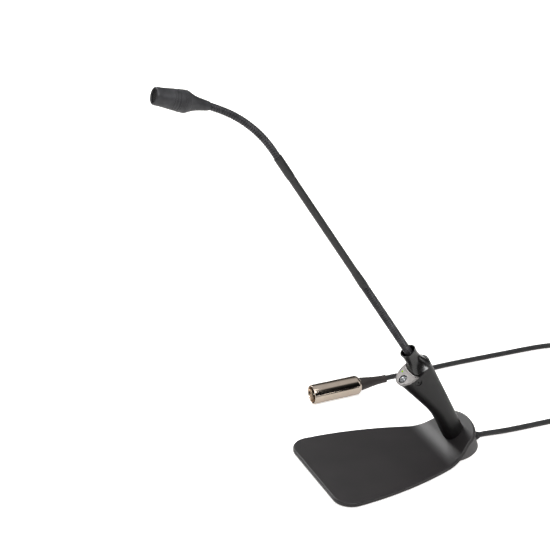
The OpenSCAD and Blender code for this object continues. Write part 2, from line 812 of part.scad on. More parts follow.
module capsule_housing() {
    taper_l = housing_l - 6.4;
    rear_r = head_r - 0.1;
    seat_r = head_front_r + 0.05;
    groove_z = taper_l - 7.5;
    groove_r = rear_r + (seat_r - rear_r) * groove_z / taper_l + 0.19;
    color("#2b2b2d") at_head() translate([0, 0, ring_high]) difference() {
        union() {
            cylinder(h = taper_l, r1 = rear_r, r2 = seat_r);
            translate([0, 0, taper_l]) cylinder(h = 5.6, r = head_front_r);
            translate([0, 0, taper_l + 5.6]) cylinder(h = 0.8, r1 = head_front_r, r2 = head_front_r - 0.5);
        }
        translate([0, 0, -over]) cylinder(h = housing_l + 2 * over, r = head_front_r - head_wall);
        for (a = slot_turns) rotate(a)
            translate([head_front_r + 0.4, 0, housing_l - 12]) cube([4, slot_w, slot_l], center = true);
        rotate_extrude() translate([groove_r, groove_z]) circle(0.35, $fn = 16);
    }
}
board_r = head_front_r - head_wall - 0.1;
module contact_board() {
    color("#1f5a37") at_head() translate([0, 0, ring_high + 0.5]) cylinder(h = 1.2, r = board_r);
}
capsule_r = head_front_r - head_wall - 0.7;
capsule_low = ring_high + 6;
capsule_high = head_front - 3.4;
module capsule() {
    color("#a9a9ab") at_head() translate([0, 0, capsule_low]) difference() {
        cylinder(h = capsule_high - capsule_low, r = capsule_r);
        translate([0, 0, capsule_high - capsule_low - 0.6]) cylinder(h = 1, r = capsule_r - 0.8);
        translate([0, 0, -over]) for (a = [0:90:270]) rotate(a) translate([2.8, 0, 0])
            cylinder(h = 1.4, r = 0.5);
    }
}
module capsule_gasket() {
    color("#1a1a1b") at_head() translate([0, 0, capsule_low - 2]) difference() {
        cylinder(h = 2, r = board_r);
        translate([0, 0, -over]) cylinder(h = 3, r = board_r - 2);
    }
}
module grille_foam() {
    color("#141415") at_head() translate([0, 0, head_front - grille_sink - 1.6]) cylinder(h = 1, r = board_r);
}
module front_grille() {
    hole = 0.45;
    rows = 3;
    color("#3a3a3d") at_head() translate([0, 0, head_front - grille_sink - 0.6]) difference() {
        cylinder(h = 0.5, r = head_front_r - head_wall - fit);
        translate([0, 0, -over]) {
            cylinder(h = 2, r = hole);
            for (k = [1:rows]) for (a = [0:60 / k:359]) rotate(a) translate([1.5 * k, 0, 0])
                cylinder(h = 2, r = hole, $fn = 16);
        }
    }
}

// ---------- cable ----------

// Ring of points around each point of a route that lies roughly level, or else at mid-width
function unit(v) = v / norm(v);
function route_ring(p, dir, r, n, level) =
    let (side = level ? unit(cross(dir, [0, 0, 1])) : [1, 0, 0], up = cross(dir, side))
    [for (i = [0:n - 1]) p + r * (side * cos(360 * i / n) + up * sin(360 * i / n))];
function tube_rings(route, r, n, level) =
    let (last = len(route) - 1)
    [for (i = [0:last])
        route_ring(route[i], unit(route[min(i + 1, last)] - route[max(i - 1, 0)]), r, n, level)];

cord_exit_y = lobe_y + gland_collar_l;
plug_front_y = -24;          // front and rear ends of the plug's shell and the end of its boot
plug_rear_y = plug_front_y + shell_l;
plug_end_y = plug_rear_y + plug_boot_l;
// From the gland straight back along the table
route_a = [
    [0, cord_exit_y, gland_z], [0, 98, 4.2], [0.5, 108, 3.6], [1, 120, 3], [1.5, 132, 2.7], [2, 145, 2.7],
    [2.5, 158, 2.7], [3, 171, 2.7], [3, 184, 2.7], [3, 197, 2.8], [3, 210, 3.1], [3, 224, 3.4]
];
// Off the top of the coil, down to the table, then forward to the plug
route_b = [
    [-46, 287.7, 19.3], [-58, 288.6, 18], [-70, 289.8, 14], [-81, 289.8, 9], [-92, 287.4, 5],
    [-102, 282.7, 3.1], [-111, 276.3, 2.7], [-118.8, 268, 2.7], [-124.4, 258, 2.7], [-127.8, 247, 2.7],
    [-129.6, 235, 2.7], [-130.5, 222, 2.7], [-131, 208, 2.7], [-131.5, 195, 2.7], [-132, 182, 2.7],
    [-132.5, 169, 2.7], [-133, 156, 2.7], [-133.4, 143, 2.7], [-133.6, 130, 2.7], [-133.4, 118, 2.7],
    [-132.7, 106, 3], [-131, 94, 4], [-128.4, 82, 5.6], [-125.6, 71, 7.6], [-123.6, 63, 9],
    [plug_x - 0.8, plug_end_y, shell_r]
];
module cord_leg_a() {
    color("#1d1d1f") skin(tube_rings(route_a, cord_d / 2, 8, true));
}
module cord_leg_b() {
    color("#1d1d1f") skin(tube_rings(route_b, cord_d / 2, 8, true));
}

coil_x = -36.6;
coil_y = 248;
coil_in_r = 21.1;
coil_out_r = 42.2;
coil_low = 0.9;
coil_h = 21.2;
coil_round = 2.5;            // rounding of the coil's section
module coil_section(grow) {
    w = coil_out_r - coil_in_r;
    translate([(coil_in_r + coil_out_r) / 2, coil_low + coil_h / 2]) {
        square([w + 2 * grow, coil_h - 2 * coil_round], center = true);
        square([w - 2 * coil_round, coil_h + 2 * grow], center = true);
        for (x = [-1, 1] * (w / 2 - coil_round)) for (y = [-1, 1] * (coil_h / 2 - coil_round))
            translate([x, y]) circle(coil_round + grow);
    }
}
module cord_coil() {
    color("#1d1d1f") translate([coil_x, coil_y, 0]) rotate_extrude() coil_section(0);
}

tie_t = 0.8;
tie_w = 12;
tie_angle = 200;             // place of the tie round the coil
module coil_tie() {
    color("#141416") translate([coil_x, coil_y, 0]) intersection() {
        rotate_extrude() difference() {
            coil_section(tie_t + 0.05);
            coil_section(0.05);
        }
        rotate(tie_angle) translate([0, -tie_w / 2, 0]) cube([2 * coil_out_r, tie_w, 2 * coil_h]);
    }
}

// ---------- plug on the end of the cable ----------

plug_boot_r = 6.75;
shell_wall = 1.2;
insert_l = 10;
insert_y = plug_front_y + 18;
module at_plug(y) {
    translate([plug_x, y, shell_r]) rotate([-90, 0, 0]) children();
}
module plug_shell() {
    color("#c8c3bc") at_plug(plug_front_y) difference() {
        union() {
            cylinder(h = shell_l - 3, r = shell_r);
            translate([0, 0, shell_l - 3]) cylinder(h = 3, r1 = shell_r, r2 = plug_boot_r + 0.6);
        }
        translate([0, 0, -over]) cylinder(h = shell_l - 8 + over, r = shell_r - shell_wall);
        translate([0, 0, shell_l - 10]) cylinder(h = 20, r = plug_boot_r - 1.2 + fit);
    }
}
module contact_places() {
    for (a = [-60, 60, 180]) rotate(a + 90) translate([4.1, 0, 0]) children();
}
contact_r = 1.2;
module plug_insert() {
    color("#202022") at_plug(insert_y) difference() {
        cylinder(h = insert_l, r = shell_r - shell_wall - fit);
        contact_places() translate([0, 0, -over]) cylinder(h = insert_l + 1, r = contact_r + fit);
    }
}
module plug_contacts() {
    color("#d8d2c4") at_plug(insert_y - 14.5) contact_places() {
        translate([0, 0, contact_r]) cylinder(h = 27, r = contact_r);
        translate([0, 0, contact_r]) sphere(contact_r);
    }
}
chuck_y = insert_y + insert_l + 5;
chuck_l = 9;                 // length of the chuck's wide part
module plug_chuck() {
    color("#d9d6cc") at_plug(chuck_y) difference() {
        union() {
            cylinder(h = chuck_l, r = shell_r - shell_wall - 0.3);
            translate([0, 0, chuck_l]) cylinder(h = plug_rear_y - chuck_y - chuck_l, r = plug_boot_r - 1.6);
        }
        translate([0, 0, -over]) cylinder(h = 40, r = cord_d / 2 + fit);
    }
}
module plug_boot() {
    color("#241f1e") at_plug(plug_rear_y) difference() {
        union() {
            cylinder(h = 6, r = plug_boot_r);
            translate([0, 0, 6]) cylinder(h = plug_boot_l - 6, r1 = plug_boot_r, r2 = cord_d / 2 + 0.9);
            translate([0, 0, -4]) cylinder(h = 4, r = plug_boot_r - 1.2);
        }
        translate([0, 0, -4 - over]) cylinder(h = 8, r = plug_boot_r - 1.6 + fit);
        translate([0, 0, -over]) cylinder(h = plug_boot_l - 2, r = cord_d / 2 + fit);
    }
}

// ---------- drawing ----------

base_plate();
base_pad();
rear_housing();
rear_foot();
housing_screws();
cable_gland();
cable_clamp();
clamp_screws();
inner_lead();
post_screws();
post_shell();
top_panel();
button_bezel();
button_cap();
switch_body();
circuit_board();
lamp_lens();
side_screw();
neck_boot();
neck_socket();
socket_contacts();
neck_plug();
plug_pins();
lower_flex_1();
lower_flex_2();
lower_flex_3();
lower_flex_4();
lower_flex_5();
lower_flex_6();
lower_ferrule();
rigid_tube();
neck_lead();
upper_ferrule();
upper_flex_1();
upper_flex_2();
upper_flex_3();
upper_flex_4();
upper_flex_5();
head_cone();
lock_ring();
capsule_housing();
contact_board();
capsule();
capsule_gasket();
grille_foam();
front_grille();
cord_leg_a();
cord_coil();
coil_tie();
cord_leg_b();
plug_boot();
plug_shell();
plug_chuck();
plug_insert();
plug_contacts();
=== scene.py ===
import json
import math

import bmesh
import bpy
from mathutils import Matrix, Vector


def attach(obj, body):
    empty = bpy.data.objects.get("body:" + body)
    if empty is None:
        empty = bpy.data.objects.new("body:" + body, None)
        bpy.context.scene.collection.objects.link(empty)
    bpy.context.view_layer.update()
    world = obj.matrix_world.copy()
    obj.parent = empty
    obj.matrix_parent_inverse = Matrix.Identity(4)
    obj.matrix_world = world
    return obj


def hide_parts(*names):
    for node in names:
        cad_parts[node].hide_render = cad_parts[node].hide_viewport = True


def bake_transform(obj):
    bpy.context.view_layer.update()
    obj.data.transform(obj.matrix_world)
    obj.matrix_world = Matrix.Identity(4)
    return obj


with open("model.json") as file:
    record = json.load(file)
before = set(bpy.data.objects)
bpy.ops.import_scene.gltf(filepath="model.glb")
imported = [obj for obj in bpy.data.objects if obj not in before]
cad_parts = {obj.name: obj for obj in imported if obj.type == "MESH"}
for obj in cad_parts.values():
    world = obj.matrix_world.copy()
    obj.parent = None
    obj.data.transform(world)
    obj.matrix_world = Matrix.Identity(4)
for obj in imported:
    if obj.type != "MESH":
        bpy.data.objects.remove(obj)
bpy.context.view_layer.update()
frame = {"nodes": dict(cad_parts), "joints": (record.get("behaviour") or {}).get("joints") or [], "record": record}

nodes = frame["nodes"]
jointAt = {joint["name"]: Vector(joint.get("pos_m") or (0, 0, 0)) for joint in frame["joints"]}
mm = 0.001


# Camera, floor and light

camera = {
    "at": (1129.9, -604.4, 805.0),      # mm
    "right": (0.3971, 0.9178, 0.0),
    "up": (-0.3994, 0.1728, 0.9004),
    "back": (0.8263, -0.3575, 0.4352),
    "lens": 107.3,                      # mm on a 36 mm sensor
}
studio = {
    "floorSize": 9.0,
    "floorHex": "f4f3f1",
    "floorGlow": 0.78,                  # lifts the floor to a clean pale tone
    "glowInGloss": 0.3,                 # share of that glow that glossy surfaces pick up
    "skyHex": "ffffff",
    "skyLow": 0.07, "skyHigh": 0.75,    # brightness at the sides and overhead
    "skyFrom": 0.5, "skyFull": 0.88,    # heights between which it changes
    "skySeen": 0.96,                    # pale backdrop where the sky shows past the floor
    "darkSide": (0.90, 0.36, 0.25),     # the unlit side of the room
    "darkFrom": 0.6, "darkFull": 0.8, "darkLevel": 0.08,
    "softBoxes": [                      # place, target, width, height in m, watts
        ((-2.6, -0.3, 1.85), (0.0, 0.05, 0.05), 1.3, 0.6, 46),
        ((0.35, -0.5, 2.6), (0.0, 0.0, 0.1), 1.5, 1.2, 18),
        ((0.6, 2.4, 1.3), (0.0, 0.0, 0.15), 1.0, 1.4, 7),
        ((1.3, 0.56, 0.1), (-0.12, 0.0, 0.01), 1.0, 0.03, 0.6),
        ((1.0, -0.15, 1.3), (0.0, 0.0, 0.1), 0.5, 0.5, 11),
    ],
}


def linearColour(hexText, alpha=1.0):
    channels = [int(hexText[i:i + 2], 16) / 255 for i in (0, 2, 4)]
    return tuple(c / 12.92 if c <= 0.04045 else ((c + 0.055) / 1.055) ** 2.4 for c in channels) + (alpha,)


def addNode(tree, kind, settings=None, links=None):
    node = tree.nodes.new("ShaderNode" + kind)
    for key, value in (settings or {}).items():
        if isinstance(key, str) and hasattr(node, key):
            setattr(node, key, value)
        else:
            node.inputs[key].default_value = value
    for key, source in (links or {}).items():
        tree.links.new(source, node.inputs[key])
    return node


def clearSelection():
    if bpy.context.object and bpy.context.object.mode != "OBJECT":
        bpy.ops.object.mode_set(mode="OBJECT")
    for thing in list(bpy.context.selected_objects):
        thing.select_set(False)


def pick(thing):
    clearSelection()
    bpy.context.view_layer.objects.active = thing
    thing.select_set(True)


def makeStudio():
    axes = [Vector(camera[key]) for key in ("right", "up", "back")]
    turn = Matrix([[axis[row] for axis in axes] for row in range(3)]).to_4x4()
    bpy.ops.object.camera_add()
    cameraThing = bpy.context.object
    cameraThing.matrix_world = Matrix.Translation(Vector(camera["at"]) * mm) @ turn
    cameraThing.data.lens = camera["lens"]
    cameraThing.data.sensor_width = 36
    cameraThing.data.clip_start = 0.01
    bpy.context.scene.camera = cameraThing
    bpy.context.scene.view_settings.view_transform = "Standard"

    clearSelection()
    bpy.ops.mesh.primitive_plane_add(size=studio["floorSize"])
    floor = bpy.context.object
    floor.name = "studio_floor"
    paper = bpy.data.materials.new("matt backdrop paper")
    paper.use_nodes = True
    shader = paper.node_tree.nodes["Principled BSDF"]
    shader.inputs["Base Color"].default_value = linearColour(studio["floorHex"])
    shader.inputs["Roughness"].default_value = 0.9
    shader.inputs["Specular IOR Level"].default_value = 0.1
    shader.inputs["Emission Color"].default_value = linearColour(studio["floorHex"])
    rays = addNode(paper.node_tree, "LightPath")
    glow = addNode(paper.node_tree, "MapRange",
                   {"To Min": studio["floorGlow"] * studio["glowInGloss"], "To Max": studio["floorGlow"]},
                   {"Value": rays.outputs["Is Camera Ray"]})
    paper.node_tree.links.new(glow.outputs["Result"], shader.inputs["Emission Strength"])
    floor.data.materials.append(paper)

    world = bpy.data.worlds.new("soft studio room")
    bpy.context.scene.world = world
    world.use_nodes = True
    tree = world.node_tree
    coords = addNode(tree, "TexCoord")
    height = addNode(tree, "SeparateXYZ", {}, {"Vector": coords.outputs["Generated"]})
    overhead = addNode(tree, "MapRange",
                       {"interpolation_type": "SMOOTHSTEP",
                        "From Min": studio["skyFrom"], "From Max": studio["skyFull"],
                        "To Min": studio["skyLow"], "To Max": studio["skyHigh"]},
                       {"Value": height.outputs["Z"]})
    facing = addNode(tree, "VectorMath", {"operation": "DOT_PRODUCT", 1: studio["darkSide"]},
                     {0: coords.outputs["Generated"]})
    level = addNode(tree, "MapRange",
                    {"interpolation_type": "SMOOTHSTEP",
                     "From Min": studio["darkFrom"], "From Max": studio["darkFull"],
                     "To Min": 1.0, "To Max": studio["darkLevel"]},
                    {"Value": facing.outputs["Value"]})
    strength = addNode(tree, "Math", {"operation": "MULTIPLY"},
                       {0: overhead.outputs["Result"], 1: level.outputs["Result"]})
    tree.nodes["Background"].inputs["Color"].default_value = linearColour(studio["skyHex"])
    rays = addNode(tree, "LightPath")
    backdrop = addNode(tree, "MapRange", {"To Max": studio["skySeen"]},
                       {"Value": rays.outputs["Is Camera Ray"], "To Min": strength.outputs["Value"]})
    tree.links.new(backdrop.outputs["Result"], tree.nodes["Background"].inputs["Strength"])

    for number, (place, target, width, height, power) in enumerate(studio["softBoxes"]):
        bpy.ops.object.light_add(type="AREA", location=place)
        box = bpy.context.object
        box.name = f"soft_box_{number + 1}"
        box.data.shape = "RECTANGLE"
        box.data.size = width
        box.data.size_y = height
        box.data.energy = power
        box.rotation_euler = (Vector(target) - Vector(place)).to_track_quat("-Z", "Y").to_euler()


makeStudio()
print("studio set")


# Finishes

# Each finish: what it is, and what that gives the eye. Sizes are in mm.
finishes = {
    # powder coat on cast metal: even, very dark warm grey, fine orange peel, soft broad highlights
    "powder_coated_steel": {"dark": "1b191a", "light": "242122", "rough": (0.38, 0.45), "gloss": 0.42,
        "grain": 0.45, "bump": 0.035, "broad": 34, "edge_wear_and_sheen": "4a4848"},
    # sprayed satin paint on the moulded post: smoother than the plate, tighter highlights
    "satin_painted_post": {"dark": "0f0e0f", "light": "171516", "rough": (0.34, 0.40), "gloss": 0.34,
        "grain": 0.35, "bump": 0.02, "broad": 22, "edge_wear_and_sheen": "3c3b3b"},
    # textured ABS housing under the ramp: a shade lighter and duller
    "textured_abs": {"dark": "444243", "light": "535151", "rough": (0.55, 0.64), "grain": 0.5,
        "bump": 0.06, "broad": 15},
    # moulded satin nylon boot: smooth, near black, clear soft highlights
    "moulded_nylon": {"dark": "0f0e0f", "light": "171616", "rough": (0.2, 0.26), "gloss": 0.62,
        "grain": 0.6, "bump": 0.012, "broad": 12},
    # black oxide on wound steel wire: dark satin metal, with a painted highlight that lightens the crests of the
    # winding
    "black_oxide_steel": {"dark": "2c2c2e", "light": "4b4a4d", "metal": 0.75, "rough": (0.26, 0.34),
        "grain": 0.4, "bump": 0.015, "broad": 9, "edge_wear_and_sheen": "77767b"},
    # black lacquer on drawn tube: satin with faint drawing lines
    "lacquered_tube": {"dark": "161517", "light": "1f1d1f", "metal": 0.15, "rough": (0.34, 0.42),
        "grain": 0.3, "bump": 0.014, "broad": 18, "edge_wear_and_sheen": "414144"},
    # black anodised and bead-blasted aluminium: dry, fine grey speckle
    "black_anodised": {"dark": "2f2f31", "light": "434346", "metal": 0.4, "rough": (0.42, 0.52),
        "grain": 0.28, "bump": 0.035, "broad": 7, "edge_wear_and_sheen": "626266"},
    # silver-grey painted panel: bright, slightly pearly, soft
    "silver_paint": {"dark": "777371", "light": "8f8b89", "metal": 0.5, "rough": (0.33, 0.42),
        "grain": 0.22, "bump": 0.03, "broad": 5, "edge_wear_and_sheen": "c4c4c6"},
    # dark glossy ring round the button
    "gloss_grey_abs": {"dark": "1e1e20", "light": "29292b", "rough": (0.16, 0.22), "grain": 0.5,
        "bump": 0.01, "broad": 4},
    # polished grey button dome: reflects the room
    "polished_button": {"dark": "98999c", "light": "b0b1b5", "metal": 0.7, "rough": (0.3, 0.36),
        "grain": 0.4, "bump": 0.01, "broad": 3},
    # zinc-plated screws and clamp: grey metal with a slight yellow cloud
    "zinc_plated_steel": {"dark": "8d8b84", "light": "a9a8a4", "metal": 1.0, "rough": (0.3, 0.42),
        "grain": 0.3, "bump": 0.02, "broad": 3},
    # turned nickel-plated brass sleeve
    "turned_nickel": {"dark": "8a8782", "light": "9d9a95", "metal": 1.0, "rough": (0.22, 0.3),
        "grain": 0.5, "bump": 0.01, "broad": 5},
    # gold flash on contact pins
    "gold_flash": {"dark": "b08d3e", "light": "cfae5a", "metal": 1.0, "rough": (0.18, 0.26),
        "grain": 0.2, "bump": 0.01, "broad": 2},
    # silver-plated contacts: bright, a little tarnish in the broad clouds
    "silver_plate": {"dark": "c9c2b6", "light": "e6e1d8", "metal": 1.0, "rough": (0.12, 0.22),
        "grain": 0.3, "bump": 0.008, "broad": 3},
    # turned aluminium capsule can
    "turned_aluminium": {"dark": "9b9b9e", "light": "b4b4b7", "metal": 1.0, "rough": (0.3, 0.4),
        "grain": 0.3, "bump": 0.015, "broad": 4},
    # glass-filled black moulding of insulators and switch
    "black_insulator": {"dark": "171717", "light": "232324", "rough": (0.45, 0.6), "grain": 0.25,
        "bump": 0.03, "broad": 3},
    # green solder mask: slight gloss over faint copper clouds
    "solder_mask": {"dark": "12472c", "light": "1d6a42", "rough": (0.25, 0.35), "grain": 0.8,
        "bump": 0.02, "broad": 1.6},
    # rubber pad and foot: dull black with a fine pebble
    "pebbled_rubber": {"dark": "161616", "light": "202020", "rough": (0.72, 0.85), "grain": 0.7,
        "bump": 0.09, "broad": 10},
    # smooth moulded rubber: gland, gasket and lead
    "moulded_rubber": {"dark": "141415", "light": "1d1d1e", "rough": (0.5, 0.62), "grain": 0.4,
        "bump": 0.03, "broad": 6},
    # moulded brown-black rubber boot of the plug: matte, slightly warm
    "boot_rubber": {"dark": "211b1a", "light": "2c2523", "rough": (0.5, 0.6), "grain": 0.35,
        "bump": 0.035, "broad": 8},
    # flexible PVC cable jacket: matte black, faint lengthwise unevenness
    "cable_jacket": {"dark": "19191a", "light": "252526", "rough": (0.46, 0.56), "grain": 0.5,
        "bump": 0.04, "broad": 9},
    # perforated steel grille, blackened: darker and duller than the turned head round it
    "blackened_grille": {"dark": "0f0f10", "light": "1c1c1d", "metal": 0.3, "rough": (0.5, 0.6),
        "grain": 0.25, "bump": 0.02, "broad": 3},
    # open-cell foam behind the grille
    "acoustic_foam": {"dark": "0c0c0c", "light": "1a1a1a", "rough": (0.9, 1.0), "grain": 0.45,
        "bump": 0.25, "broad": 1.5},
}
slotFinish = {
    "plate_paint": "powder_coated_steel", "pad_rubber": "pebbled_rubber", "housing_plastic": "textured_abs",
    "gland_rubber": "moulded_rubber", "screw_steel": "zinc_plated_steel", "lead_jacket": "moulded_rubber",
    "post_paint": "satin_painted_post", "panel_silver": "silver_paint", "bezel_dark": "gloss_grey_abs",
    "button_grey": "polished_button", "switch_black": "black_insulator", "board_green": "solder_mask",
    "lamp_green": "lamp_lens", "boot_black": "moulded_nylon", "socket_nickel": "turned_nickel",
    "contact_plastic": "black_insulator", "contact_gold": "gold_flash", "flex_black": "black_oxide_steel",
    "tube_black": "lacquered_tube", "head_black": "black_anodised", "capsule_metal": "turned_aluminium",
    "gasket_rubber": "moulded_rubber", "foam_black": "acoustic_foam", "grille_black": "blackened_grille",
    "cord_jacket": "cable_jacket", "tie_black": "hook_and_loop", "plug_nickel": "bright_nickel",
    "plug_boot_black": "boot_rubber", "plug_contact": "silver_plate",
}


def startMaterial(name):
    material = bpy.data.materials.new(name)
    material.use_nodes = True
    tree = material.node_tree
    return material, tree, tree.nodes["Principled BSDF"], addNode(tree, "TexCoord")


def tintBetween(tree, source, first, second):
    tint = addNode(tree, "ValToRGB", {}, {"Fac": source})
    tint.color_ramp.elements[0].color = linearColour(first)
    tint.color_ramp.elements[1].color = linearColour(second)
    return tint


def makeFinish(name, look):
    material, tree, shader, coords = startMaterial(name)
    fine = addNode(tree, "TexNoise", {"Scale": 1 / (look["grain"] * mm), "Detail": 3.0, "Roughness": 0.6},
                   {"Vector": coords.outputs["Object"]})
    broad = addNode(tree, "TexNoise", {"Scale": 1 / (look["broad"] * mm), "Detail": 2.0, "Roughness": 0.5},
                    {"Vector": coords.outputs["Object"]})
    blendOf = addNode(tree, "Math", {"operation": "MULTIPLY_ADD", 1: 0.45},
                      {0: fine.outputs["Fac"], 2: broad.outputs["Fac"]})
    tint = tintBetween(tree, blendOf.outputs["Value"], look["dark"], look["light"])
    tint.color_ramp.elements[0].position = 0.45
    colour = tint.outputs["Color"]
    if "edge_wear_and_sheen" in look:                   # edges a little lighter: rubbed wear on coated parts, a painted highlight on the crests of the wound wire
        shape = addNode(tree, "NewGeometry")
        edges = addNode(tree, "MapRange",
                        {"From Min": 0.52, "From Max": 0.62, "To Min": 0.0, "To Max": 0.55},
                        {"Value": shape.outputs["Pointiness"]})
        rubbed_and_lit_edges = addNode(tree, "Math", {"operation": "MULTIPLY"},
                         {0: edges.outputs["Result"], 1: broad.outputs["Fac"]})
        mix = addNode(tree, "Mix", {"data_type": "RGBA", 7: linearColour(look["edge_wear_and_sheen"])},
                      {0: rubbed_and_lit_edges.outputs["Value"], 6: colour})
        colour = mix.outputs[2]
    tree.links.new(colour, shader.inputs["Base Color"])
    rough = addNode(tree, "MapRange", {"From Min": 0.3, "From Max": 0.7,
                                       "To Min": look["rough"][0], "To Max": look["rough"][1]},
                    {"Value": fine.outputs["Fac"]})
    tree.links.new(rough.outputs["Result"], shader.inputs["Roughness"])
    relief = addNode(tree, "Bump", {"Strength": 1.0, "Distance": look["bump"] * mm},
                     {"Height": fine.outputs["Fac"]})
    tree.links.new(relief.outputs["Normal"], shader.inputs["Normal"])
    shader.inputs["Metallic"].default_value = look.get("metal", 0.0)
    shader.inputs["Specular IOR Level"].default_value = look.get("gloss", 0.5)
    return material


def makeLampLens():
    # tinted acrylic over a lit diode: saturated yellow-green with a soft glow
    material, tree, shader, coords = startMaterial("tinted_acrylic_lamp")
    cloud = addNode(tree, "TexNoise", {"Scale": 900.0, "Detail": 1.0},
                    {"Vector": coords.outputs["Object"]})
    tint = tintBetween(tree, cloud.outputs["Fac"], "86b800", "a4d400")
    tree.links.new(tint.outputs["Color"], shader.inputs["Base Color"])
    tree.links.new(tint.outputs["Color"], shader.inputs["Emission Color"])
    shader.inputs["Emission Strength"].default_value = 0.35
    shader.inputs["Roughness"].default_value = 0.12
    return material


def makeBrightNickel():
    # bright nickel on a turned shell: warm mirror with the faintest turning lines round it
    material, tree, shader, coords = startMaterial("bright_nickel_plate")
    squeezed = addNode(tree, "Mapping", {"Scale": (40.0, 2600.0, 40.0)},
                       {"Vector": coords.outputs["Object"]})
    lines = addNode(tree, "TexNoise", {"Scale": 1.0, "Detail": 2.0},
                    {"Vector": squeezed.outputs["Vector"]})
    cloud = addNode(tree, "TexNoise", {"Scale": 120.0, "Detail": 2.0},
                    {"Vector": coords.outputs["Object"]})
    tint = tintBetween(tree, cloud.outputs["Fac"], "b5a799", "c4b7aa")
    rough = addNode(tree, "MapRange", {"From Min": 0.3, "From Max": 0.7, "To Min": 0.07, "To Max": 0.13},
                    {"Value": lines.outputs["Fac"]})
    relief = addNode(tree, "Bump", {"Strength": 0.35, "Distance": 0.000006},
                     {"Height": lines.outputs["Fac"]})
    tree.links.new(tint.outputs["Color"], shader.inputs["Base Color"])
    tree.links.new(rough.outputs["Result"], shader.inputs["Roughness"])
    tree.links.new(relief.outputs["Normal"], shader.inputs["Normal"])
    shader.inputs["Metallic"].default_value = 1.0
    return material


def makeHookAndLoop():
    # woven hook-and-loop strap: rows of small loops, about 0.9 mm apart, on a dull cloth
    material, tree, shader, coords = startMaterial("hook_and_loop_weave")
    loops = addNode(tree, "TexVoronoi", {"Scale": 1100.0, "Randomness": 0.55},
                    {"Vector": coords.outputs["Object"]})
    tint = tintBetween(tree, loops.outputs["Distance"], "2b2b2d", "101011")
    relief = addNode(tree, "Bump", {"Strength": 1.0, "Distance": 0.0002, "invert": True},
                     {"Height": loops.outputs["Distance"]})
    tree.links.new(tint.outputs["Color"], shader.inputs["Base Color"])
    tree.links.new(relief.outputs["Normal"], shader.inputs["Normal"])
    shader.inputs["Roughness"].default_value = 0.9
    shader.inputs["Sheen Weight"].default_value = 0.3
    return material


materials = {name: makeFinish(name, look) for name, look in finishes.items()}
materials["lamp_lens"] = makeLampLens()
materials["bright_nickel"] = makeBrightNickel()
materials["hook_and_loop"] = makeHookAndLoop()
for entry in frame["record"]["subparts"]:
    carried = nodes[entry["node"]]
    carried.data.materials.clear()
    carried.data.materials.append(materials[slotFinish[entry["material_slot"]]])
print("finishes made")


# Modelling helpers

def ringUp(name, rings, closed=False):
    # a circle primitive is extruded from ring to ring; closed joins the last ring to the first
    clearSelection()
    bpy.ops.mesh.primitive_circle_add(vertices=len(rings[0]), radius=1)
    thing = bpy.context.object
    thing.name = name
    thing.data.name = name
    bpy.ops.object.mode_set(mode="EDIT")
    bpy.ops.mesh.select_mode(type="VERT")
    mesh = bmesh.from_edit_mesh(thing.data)
    place = mesh.verts.layers.int.new("place")
    for number, vert in enumerate(mesh.verts):
        vert[place] = number
    bmesh.update_edit_mesh(thing.data)
    bpy.ops.mesh.select_all(action="SELECT")
    for count, ring in enumerate(rings):
        if count:
            bpy.ops.mesh.extrude_region_move()
        mesh = bmesh.from_edit_mesh(thing.data)
        place = mesh.verts.layers.int["place"]
        for vert in mesh.verts:
            if vert.select:
                vert.co = Vector(ring[vert[place]]) * mm
        bmesh.update_edit_mesh(thing.data)
    if closed:
        bpy.ops.mesh.select_all(action="DESELECT")
        bpy.ops.mesh.select_non_manifold()
        bpy.ops.mesh.bridge_edge_loops()
    else:
        bpy.ops.mesh.select_all(action="SELECT")
        bpy.ops.mesh.fill_holes(sides=0)
    bpy.ops.mesh.select_all(action="SELECT")
    bpy.ops.mesh.normals_make_consistent(inside=False)
    bpy.ops.object.mode_set(mode="OBJECT")
    thing.data.attributes.remove(thing.data.attributes["place"])
    return thing


def circleRing(radius, height, sides):
    return [(radius * math.cos(math.tau * i / sides), radius * math.sin(math.tau * i / sides), height)
            for i in range(sides)]


def turnUp(name, profile, sides=64, closed=False):
    # profile holds (radius, height) pairs in mm
    return ringUp(name, [circleRing(radius, height, sides) for radius, height in profile], closed)


def inset(outline, amount):
    # moves a closed anticlockwise outline inwards
    moved = []
    for i, point in enumerate(outline):
        way = (Vector(outline[(i + 1) % len(outline)]) - Vector(outline[i - 1])).normalized()
        moved.append((point[0] - way.y * amount, point[1] + way.x * amount))
    return moved


def layerUp(name, outline, profile, closed=False):
    # profile holds (height, inset) pairs in mm
    rings = [[(x, y, height) for x, y in inset(outline, amount)] for height, amount in profile]
    return ringUp(name, rings, closed)


def ovalPoint(a, b, squareness, angle):
    c, s = math.cos(angle), math.sin(angle)
    power = 2 / squareness
    return math.copysign(abs(c) ** power * a, c), math.copysign(abs(s) ** power * b, s)


def tipped(point, lean):
    # frame at a point in mm whose Z axis leans towards the talker
    return Matrix.Translation(Vector(point) * mm) @ Matrix.Rotation(math.radians(lean), 4, "X")


def along(lean):
    return Vector((0, -math.sin(math.radians(lean)), math.cos(math.radians(lean))))


def settle(thing, slotName, where=None, body=None, replaced=(), smooth=32):
    # puts the finished mesh in its place, gives it its finish and its body
    if where is not None:
        thing.data.transform(where)
    thing.matrix_world = Matrix.Identity(4)
    pick(thing)
    bpy.ops.object.shade_smooth_by_angle(angle=math.radians(smooth))
    thing.data.materials.clear()
    thing.data.materials.append(materials[slotFinish[slotName]])
    if body:
        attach(thing, body)
    if replaced:
        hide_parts(*replaced)
    return thing


def carve(thing, other, where=None, operation="DIFFERENCE"):
    # takes the other shape out of thing, or welds it on with UNION
    if where is not None:
        other.data.transform(where)
    pick(thing)
    cut = thing.modifiers.new("cut", "BOOLEAN")
    cut.operation = operation
    cut.solver = "EXACT"
    cut.object = other
    bpy.ops.object.modifier_apply(modifier="cut")
    bpy.data.objects.remove(other)


def drill(thing, radius, low, high, where):
    carve(thing, turnUp("drill", [(radius, low), (radius, high)], 40), where)


